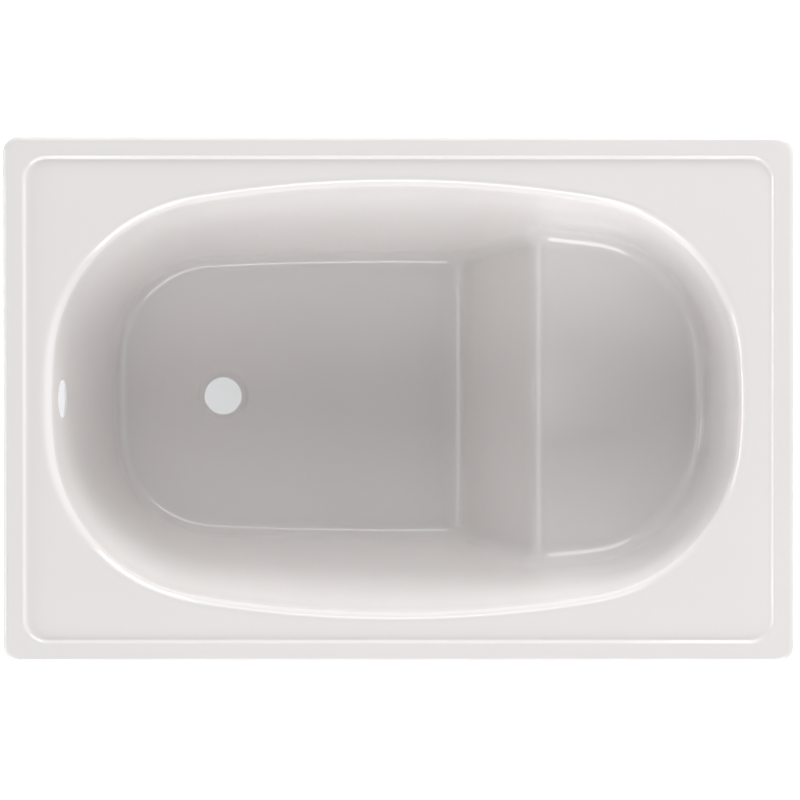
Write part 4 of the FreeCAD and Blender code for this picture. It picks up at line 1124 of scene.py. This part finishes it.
@dataclass
class LegSet:
    """One rail with its bracket, studs, nuts, leg screws and feet.

    Sizes are in millimetres, named as the part's source names them.
    """

    end: End
    rail_x: float
    sheet_under: float
    rail_top: float
    workshop: Workshop
    studs_y: float = 110
    legs_y: float = 235
    stud_length: float = 18
    stud_radius: float = 4
    stud_pitch: float = 1.25
    screw_radius: float = 5
    screw_pitch: float = 1.5
    screw_base: float = 12
    screw_length: float = 184.6
    collar_base: float = 22
    collar_height: float = 8
    wrench: float = 17
    wrench_bore: float = 5.08
    rail_wall: float = 2
    washer_wall: float = 1.6
    stud_nut_base: float = 8.1
    jam_nut_level: float = 140.6
    bracket_half_length: float = 150
    bracket_wall: float = 2
    bracket_bend: float = 2.2
    weld_pitch: float = 46
    weld_line: float = 19.5
    nut_bevel: float = 0.22
    screw_bevel: float = 0.3
    foot_bevel: float = 0.3
    rib_bevel: float = 0.5
    rib_half: float = 1.25
    foot_crease: float = 40

    def bracket(self) -> None:
        """Hat-section strip with bent corners and a row of weld dimples along each flange."""
        sheet, weld = self.workshop.finishes.sheet, self.workshop.finishes.weld
        hat = [(-25, -1), (-12, -1), (-12, -15), (12, -15), (12, -1), (25, -1)]
        stations = np.linspace(-self.bracket_half_length, self.bracket_half_length, 13)
        line = folded(hat, self.bracket_bend)
        meshes = [strip(line, self.rail_x, self.sheet_under, stations, self.bracket_wall, sheet)]
        dimple = lathe([(0, -0.45), (1.4, -0.42), (2.4, -0.25), (3.1, 0.0), (3.1, 0.3), (0, 0.3)], columns=24)
        dimple, step, level = dimple.mesh(weld), metres(0, self.weld_pitch, 0), self.sheet_under - self.bracket_wall
        for x in (self.rail_x - self.weld_line, self.rail_x + self.weld_line):
            start = metres(x, -2.5 * self.weld_pitch, level)
            meshes.append(self.workshop.copies(self.workshop.row, dimple, weld, Count=6, Start=start, Step=step))
        gather(f"{self.end.value}_hat_strip", meshes, f"{self.end.value}_bracket")

    def both_sides(self, name: str, stands_for: str, draft: Draft, place: tuple, material: Material, *extra) -> None:
        """Puts a drafted piece on both sides of the bath as one piece.

        Args:
            name: the new piece's name, without the end's.
            stands_for: the solid it replaces, without the end's name.
            draft: the piece, round the Z axis.
            place: distance from the middle of the bath, and level of the piece's origin.
            material: its finish.
            *extra: further meshes round the Z axis that are copied with it.
        """
        spread, level = place
        where = {"Count": 2, "Start": metres(self.rail_x, -spread, level), "Step": metres(0, 2 * spread, 0)}
        pieces = (softened(draft, self.nut_bevel, material), *extra)
        meshes = [self.workshop.copies(self.workshop.row, piece, material, **where) for piece in pieces]
        gather(f"{self.end.value}_{name}", meshes, f"{self.end.value}_{stands_for}")

    def fasteners(self) -> None:
        """Weld studs with their washers and nuts, and the nuts of the leg screws."""
        bright, weld = self.workshop.finishes.bright, self.workshop.finishes.weld
        radius, tip, wall = self.stud_radius, self.stud_length, self.washer_wall
        root, web = radius - THREAD_DEPTH * self.stud_pitch, self.rail_top - self.rail_wall
        stud = [(0, 0), (root - 0.7, 0), (root, 0.8), (root, tip - 4.5), (radius, tip - 4), (radius, tip), (0, tip)]
        thread = self.workshop.ribbon(radius, self.stud_pitch, 0.9, tip - 4.6)
        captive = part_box(f"{self.end.value}_weld_nuts")[0].z / MM
        stud, place = lathe(stud, columns=36), (self.studs_y, self.rail_top - tip)
        self.both_sides("weld_studs", "studs", stud, place, bright, thread)
        jam, held = (nut(self.wrench, height, self.wrench_bore) for height in (6, 8))
        for name, stands_for, draft, place, material in (
            ("flat_washers", "washers", washer(8, 4.5, wall), (self.studs_y, web - wall), bright),
            ("stud_nuts", "nuts", nut(13, 6.5, 4.08), (self.studs_y, web - self.stud_nut_base), bright),
            ("jam_nuts", "lock_nuts", jam, (self.legs_y, self.jam_nut_level), bright),
            ("captive_nuts", "weld_nuts", held, (self.legs_y, captive), weld),
        ):
            self.both_sides(name, stands_for, draft, place, material)

    def stand(self, name: str, body: str, side: Side, level: float, meshes: list) -> None:
        """Puts a moving piece of a leg in its place.

        Args:
            name: the piece's name, without the leg's.
            body: the solid that it replaces and the body it moves with, without the leg's name.
            side: the leg's side.
            level: height of the piece's origin.
            meshes: what it is made of, round the Z axis.
        """
        place = Matrix.Translation(Vector((self.rail_x, side.value * self.legs_y, level)) * MM)
        for mesh in meshes:
            mesh.transform(place)
        leg = f"{self.end.value}_{side.word}"
        gather(f"{name}_{leg}", meshes, f"{body}_{leg}", f"{body}_{leg}")

    def leg_screw(self, side: Side) -> None:
        """A threaded leg screw with its wrench collar, neck and swivel disc."""
        root = self.screw_radius - THREAD_DEPTH * self.screw_pitch
        top, low, high = self.screw_length, self.collar_base, self.collar_base + self.collar_height
        core = lathe([
            (0, 0), (6.6, 0), (7, 0.4), (7, 3.6), (6.6, 4), (4, 4), (4, 8), (5, 8.6), (5, low - 0.6), (5.6, low),
            *wrench_rows(self.wrench, low, high), (5.6, high), (5, high + 0.6), (5, high + 1.8),
            (root, high + 2.6), (root, top - 1.2), (root - 1.1, top), (0, top),
        ], self.wrench)
        thread = self.workshop.ribbon(self.screw_radius, self.screw_pitch, high + 2.4, top - 1.1)
        meshes = [softened(core, self.screw_bevel, self.workshop.finishes.bright), thread]
        self.stand("leg", "screw", side, self.screw_base, meshes)

    def foot(self, side: Side) -> None:
        """A moulded foot: round base, flared neck, ribs and the socket of the screw's disc."""
        material = self.workshop.finishes.plastic
        base = [(0, 0.6), (9, 0.6), (10, 0), (14, 0), (14.6, 0.5), (17.4, 0.5), (18, 0), (23.5, 0), (24.6, 0.5),
                (25, 1.5), (25, 4.5), (24.6, 5.5), (23.5, 6)]
        flare = [(11 + 7 * (1 - math.sin(t)), 6 + 7 * (1 - math.cos(t))) for t in np.linspace(0, QUARTER, 7)]
        socket = [(11, 28.8), (10.6, 29.7), (9.7, 30), (6.2, 30), (5.4, 29.4), (5.3, 28), (5.3, 20), (0, 20)]
        hub = softened(lathe(base + flare + socket, columns=60), self.foot_bevel, material, self.foot_crease)
        rib = Draft()
        outline = [(9.6, 3.2), (22, 3.2), (22, 6.0), (21.2, 7.4), (11.6, 23.4), (10.6, 24.0), (9.6, 24.0)]
        near, far = (rib.place([(x, y, z) for x, z in outline]) for y in (-self.rib_half, self.rib_half))
        rib.weave([far, near])
        rib.faces += [tuple(near.tolist()), tuple(far[::-1].tolist())]
        rib = softened(rib, self.rib_bevel, material, self.foot_crease)
        ribs = self.workshop.copies(self.workshop.spokes, rib, material, Count=6, Middle=metres(0, 0, 0))
        self.stand("moulded_foot", "foot", side, 0.0, [hub, ribs])

    def build(self) -> None:
        """Builds the set; its rail is the model's own."""
        self.workshop.dress(f"{self.end.value}_rail", self.workshop.finishes.sheet)
        self.bracket()
        self.fasteners()
        for side in Side:
            self.leg_screw(side)
            self.foot(side)


@dataclass
class Uprights:
    """Square tubes below the seat rail, welded on at the top and closed by end plates with captive nuts.

    Sizes are in millimetres.
    """

    workshop: Workshop
    rail_x: float = 262.02
    legs_y: float = 235
    half: float = 12.5
    wall: float = 1.5
    corner: float = 3
    plate_half: float = 16
    plate_hole: float = 5.6
    bead_out: float = 0.3
    bead_off: float = 0.7
    bead_radius: float = 1.5
    tube_bevel: float = 0.25
    plate_bevel: float = 0.3

    def bead(self, level: float, y: float) -> Mesh:
        """A weld bead laid round the tube at a level."""
        return self.workshop.bead.mesh({
            "Size": 2 * (self.half + self.bead_out) * MM, "Corner": self.corner * MM, "Count": 64,
            "Radius": self.bead_radius * MM, "Middle": metres(self.rail_x, y, level),
            "Finish": self.workshop.finishes.weld,
        })

    def block(self, outer: np.ndarray, inner: np.ndarray, levels: tuple, y: float, soft: float) -> Mesh:
        """An upright piece with a hole through it.

        Args:
            outer: plan of its outside, about its axis.
            inner: plan of its hole, with as many points.
            levels: its bottom and top.
            y: place across the bath.
            soft: width of its bevels.

        Returns:
            The mesh.
        """
        draft, (low, high) = Draft(), levels
        plans = ((outer, low), (outer, high), (inner, high), (inner, low))
        rows = [draft.place(plan + (self.rail_x, y), level) for plan, level in plans]
        draft.weave([*rows, rows[0]])
        return softened(draft, soft, self.workshop.finishes.sheet)

    def build(self) -> None:
        """Builds each tube with its upper weld bead, and both end plates with the beads that hold them."""
        bore, corner = self.half - self.wall, self.corner - self.wall
        for side in Side:
            levels, y = [v.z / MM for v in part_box(f"seat_upright_{side.word}")], side.value * self.legs_y
            outer, inner = oblong(self.half, self.half, self.corner, 6), oblong(bore, bore, corner, 6)
            tube = self.block(outer, inner, levels, y, self.tube_bevel)
            meshes = [tube, self.bead(levels[1] - self.bead_off, y)]
            gather(f"seat_tube_{side.word}", meshes, f"seat_upright_{side.word}")
        levels = [v.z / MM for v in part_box("seat_end_plates")]
        outer = oblong(self.plate_half, self.plate_half, self.corner, 6)
        inner = around(np.arctan2(outer[:, 1], outer[:, 0])) * self.plate_hole
        meshes = []
        for y in (-self.legs_y, self.legs_y):
            plate = self.block(outer, inner, levels, y, self.plate_bevel)
            meshes += [plate, self.bead(levels[1] + self.bead_off, y)]
        gather("seat_foot_plates", meshes, "seat_end_plates")


@dataclass
class Mats:
    """Sound-deadening mats glued to the pressing's back, cut with rounded corners.

    Sizes are in millimetres.
    """

    workshop: Workshop
    pressing: Pressing
    corner: float = 20
    hole_columns: int = 60
    hole_gap: float = 5
    waste_gap: float = 40
    riser_size: tuple = (42, 130, 3)
    grid: float = 9.0
    margin: float = 8
    crease: float = 40

    def slab(self, half_x: float, half_y: float, thickness: float, hole: tuple = ()) -> Mesh:
        """A flat mat under the level z = 0, about the origin.

        Args:
            half_x: half length.
            half_y: half width.
            thickness: its thickness.
            hole: the place lengthwise and the radius of a round gap, or nothing.

        Returns:
            The mesh.
        """
        draft, low = Draft(), -thickness
        insets = ((0.9, low), (0.35, low + 0.15), (0.0, low + 0.6), (0.0, 0.0))
        rows = [
            draft.place(oblong(half_x - inset, half_y - inset, self.corner - inset, 12), level)
            for inset, level in insets
        ]
        draft.weave(rows)
        lines = [np.arange(self.margin - half, half - self.margin + 1, self.grid) for half in (half_x, half_y)]
        spots = [
            (x, y) for x in lines[0] for y in lines[1]
            if not hole or math.hypot(x - hole[0], y) > hole[1] + self.hole_gap
        ]
        rings = []
        for row, level in ((rows[0], low), (rows[-1], 0.0)):
            start = len(draft.faces)
            ring = draft.place(circle(self.hole_columns) * hole[1] + (hole[0], 0), level) if hole else ()
            rings.append(ring)
            draft.fill(row, ring, spots, level)
            if level < 0:
                draft.faces[start:] = [face[::-1] for face in draft.faces[start:]]
        if hole:
            draft.weave(rings[::-1])
        return draft.mesh(self.workshop.finishes.mat)

    def lay(self, name: str, mesh: Mesh, place: Matrix) -> None:
        """Moves a mat to its place and makes it part of the bath."""
        mesh.transform(place)
        mesh.set_sharp_from_angle(angle=math.radians(self.crease))
        into_bath(linked(f"{name}_mat", mesh), f"{name}_pad")

    def build(self) -> None:
        """Builds the four mats where their solids are."""
        bath = self.pressing
        for name in ("waste", "floor", "seat"):
            low, high = (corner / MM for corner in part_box(f"{name}_pad"))
            middle, half = (low + high) / 2, (high - low) / 2
            hole = (bath.waste_x - middle.x, self.waste_gap) if name == "waste" else ()
            place = Matrix.Translation(Vector((middle.x, middle.y, high.z)) * MM)
            self.lay(name, self.slab(half.x, half.y, high.z - low.z, hole), place)
        slope = math.atan2(bath.seat_height, bath.nosing - bath.riser_foot)
        place = Vector((
            (bath.riser_foot + bath.nosing) / 2 + bath.wall * math.sin(slope), 0,
            bath.floor + bath.seat_height / 2 - bath.wall * math.cos(slope),
        ))
        place = Matrix.Translation(place * MM) @ Matrix.Rotation(-slope, 4, "Y")
        self.lay("riser", self.slab(*self.riser_size), place)


@dataclass
class Earthing:
    """Earthing tab under the foot well with its bolt, washers and nut, all along the bath.

    Sizes are in millimetres.
    """

    workshop: Workshop
    tab_x: float = 25.12
    sheet_under: float = 172.6
    flange: float = 18
    drop: float = 32
    half_width: float = 10
    wall: float = 2
    bend: float = 1.6
    hole_drop: float = 20
    bolt_radius: float = 3
    bore: float = 3.15
    pitch: float = 1.0
    flats: float = 10
    head: float = 4
    nut: float = 5
    washer: float = 1.6
    spare: float = 3
    bevel: float = 0.18

    def add(self, name: str, x: float, *pieces) -> None:
        """Lays drafts and meshes made round the Z axis along the bath at the bolt's level, from a place on.

        Args:
            name: the piece's name, after earthing.
            x: where it starts.
            *pieces: its drafts and meshes, each with a further distance.
        """
        level, meshes = self.sheet_under - self.hole_drop, []
        for piece, further in pieces:
            bright = self.workshop.finishes.bright
            mesh = softened(piece, self.bevel, bright) if isinstance(piece, Draft) else piece
            start = (x + further) * MM
            mesh.transform(Matrix(((0, 0, 1, start), (1, 0, 0, 0), (0, 1, 0, level * MM), (0, 0, 0, 1))))
            meshes.append(mesh)
        gather(f"earthing_{name}", meshes, f"earth_{name}")

    def build(self) -> None:
        """Builds the tab and what it holds."""
        line = folded([(self.flange, -1), (1, -1), (1, -self.drop)], self.bend, 7)
        stations = np.linspace(-self.half_width, self.half_width, 5)
        tab = strip(line, self.tab_x, self.sheet_under, stations, self.wall, self.workshop.finishes.sheet)
        gather("earthing_tab", [tab], "earth_tab")
        radius, head, ring = self.bolt_radius, self.head, self.washer
        root = radius - THREAD_DEPTH * self.pitch
        total = head + ring * 2 + self.wall + self.nut + self.spare
        bolt = lathe([
            (0, 0.3), (3.4, 0.3), (3.6, 0), *wrench_rows(self.flats, 0, head), (radius, head), (radius, head + 3),
            (root, head + 3.5), (root, total - 0.7), (root - 0.6, total), (0, total),
        ], self.flats, 36)
        thread = self.workshop.ribbon(radius, self.pitch, head + 3.2, total - 0.7)
        self.add("bolt", self.tab_x - ring - head, (bolt, 0), (thread, 0))
        rings = [washer(6, self.bore, ring, 36) for _ in range(2)]
        self.add("washers", self.tab_x, (rings[0], -ring), (rings[1], self.wall))
        self.add("nut", self.tab_x + self.wall + ring, (nut(self.flats, self.nut, self.bore, 36), 0))


# Studio.


@dataclass(frozen=True)
class Lamp:
    """A soft oblong lamp that faces the bath, in metres."""

    name: str
    place: tuple
    size: tuple
    watts: float
    aim: float = 0.45

    def build(self) -> None:
        """Puts the lamp in its place."""
        data = bpy.data.lights.new(self.name, "AREA")
        data.shape = "RECTANGLE"
        data.size, data.size_y = self.size
        data.energy = self.watts
        made = linked(self.name, data)
        made.location = self.place
        facing = Vector((0, 0, self.aim)) - Vector(self.place)
        made.rotation_euler = facing.to_track_quat("-Z", "Y").to_euler()


@dataclass
class Studio:
    """Pale floor with a painted shadow below the bath, soft lamps and the camera over the bath, in metres."""

    camera_height: float = 6.3
    rim_level: float = 0.556
    aim: tuple = (0.0021, -0.0005)
    camera_back: float = 0.087
    view_width: float = 1.0622
    sensor: float = 36
    floor_half: float = 9.0
    floor_tone: tuple = (0.86, 0.86, 0.86, 1)
    floor_roughness: float = 0.8
    floor_specular: float = 0.2
    # footprint, shade_corner and shade_edges place a painted shadow on the floor below the bath
    footprint: tuple = (0.525, 0.35)
    shade_corner: float = 0.15
    shade_edges: tuple = (0.12, 0.19)
    lift: float = 0.5
    ambient: float = 0.01
    ambient_tone: tuple = (1.0, 0.985, 0.985, 1)
    lamps: tuple = (
        Lamp("left_low_back", (2.34, 5.04, 1.94), (3.6, 1.6), 218),
        Lamp("left_high", (0.9, 4.5, 3.83), (5.8, 2.2), 124),
        Lamp("right_low_back", (2.34, -5.04, 1.94), (3.6, 1.6), 81),
        Lamp("right_low_foot", (-2.34, -5.04, 1.94), (3.6, 1.6), 81),
        Lamp("right_high", (1.08, -4.5, 3.83), (5.8, 2.2), 180),
        Lamp("back_high", (4.5, 0.0, 4.1), (4.3, 1.8), 19),
        Lamp("foot_low", (-5.76, 0.0, 1.31), (4.3, 0.9), 124),
        Lamp("foot_high", (-4.68, 0.0, 3.74), (4.3, 1.8), 31),
    )

    def camera(self) -> None:
        """Sets the camera over the bath, looking down and a little back."""
        data = bpy.data.cameras.new("camera")
        made = linked("camera", data)
        made.location = Vector((0.0, self.camera_back, self.rim_level + self.camera_height))
        look = Vector((*self.aim, self.rim_level)) - made.location
        made.rotation_euler = (math.atan2(look.y, -look.z), -math.atan2(look.x, -look.z), 0.0)
        data.sensor_width = self.sensor
        data.lens = self.sensor * look.length / self.view_width
        data.clip_end = 50
        bpy.context.scene.camera = made

    def surroundings(self) -> None:
        """A faint world for light, seen as plain white by the camera, in gloss and through glass."""
        world = bpy.data.worlds.new("surroundings")
        bpy.context.scene.world = world
        world.use_nodes = True
        graph = Graph(world.node_tree)
        ray = graph.add("ShaderNodeLightPath").outputs
        direct = graph.reckon("MAXIMUM", ray["Is Camera Ray"], ray["Is Transmission Ray"])
        seen = graph.reckon("MAXIMUM", direct, ray["Is Glossy Ray"])
        faint = graph.add("ShaderNodeBackground", Color=self.ambient_tone, Strength=self.ambient)
        white = graph.add("ShaderNodeBackground", Color=(1, 1, 1, 1), Strength=1.0)
        mix = graph.add("ShaderNodeMixShader", in0=seen, in1=faint, in2=white)
        graph.add("ShaderNodeOutputWorld", Surface=mix)

    def ground(self) -> None:
        """A wide pale floor, lifted to white round the bath, with a painted shadow below it, and clear from below."""
        shading = Shading("pale_floor")
        shading.done(self.floor_tone, self.floor_roughness, Specular_IOR_Level=self.floor_specular)
        # the floor's glow is left out below the bath, which paints a shadow there
        glow_with_painted_shadow = shading.add("ShaderNodeEmission", Strength=self.lift_strength(shading))
        both = shading.add("ShaderNodeAddShader", in0=shading.shader, in1=glow_with_painted_shadow)
        ray = shading.add("ShaderNodeLightPath").outputs
        seen = shading.reckon("MAXIMUM", ray["Is Camera Ray"], ray["Is Glossy Ray"])
        upper = shading.add("ShaderNodeMixShader", in0=seen, in1=shading.shader, in2=both)
        under = shading.add("ShaderNodeNewGeometry").outputs["Backfacing"]
        clear = shading.add("ShaderNodeBsdfTransparent")
        shading.put(shading.output, Surface=shading.add("ShaderNodeMixShader", in0=under, in1=upper, in2=clear))
        half, mesh = self.floor_half, bpy.data.meshes.new("studio_floor")
        mesh.from_pydata([(-half, -half, 0), (half, -half, 0), (half, half, 0), (-half, half, 0)], [], [(0, 1, 2, 3)])
        mesh.materials.append(shading.material)
        linked("studio_floor", mesh)

    def lift_strength(self, shading: Shading) -> Node:
        """The floor's lift, left out below the bath as a painted shadow: none deep below the bath, full a little
        outside its sides.
        """
        core = (*(half - self.shade_corner for half in self.footprint), 0)
        away = shading.add("ShaderNodeVectorMath", operation="ABSOLUTE", in0=shading.place)
        beyond = shading.add("ShaderNodeVectorMath", operation="SUBTRACT", in0=away, in1=core)
        outside = shading.add("ShaderNodeVectorMath", operation="MAXIMUM", in0=beyond, in1=(0, 0, 0))
        gap = shading.add("ShaderNodeVectorMath", operation="LENGTH", in0=outside).outputs["Value"]
        return shading.put(shading.span(gap, 0.0, self.lift, *self.shade_edges), interpolation_type="SMOOTHSTEP")

    def build(self) -> None:
        """Sets up floor, light and camera."""
        bpy.context.scene.view_settings.view_transform = "Standard"
        self.surroundings()
        self.ground()
        for lamp in self.lamps:
            lamp.build()
        self.camera()


def main() -> None:
    """Builds the bath and its studio in order."""
    logging.basicConfig(level=logging.INFO, format="%(message)s")
    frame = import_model()
    finishes, pressing = Finishes(), Pressing()
    pressing.build(finishes)
    workshop = Workshop(finishes, frame["nodes"])
    LegSet(End.DRAIN, -140.225, 172.6, 156.6, workshop).build()
    LegSet(End.SEAT, 262.02, 322.6, 306.6, workshop).build()
    Uprights(workshop).build()
    Mats(workshop, pressing).build()
    Earthing(workshop).build()
    Studio().build()


if __name__ == "__main__":
    main()
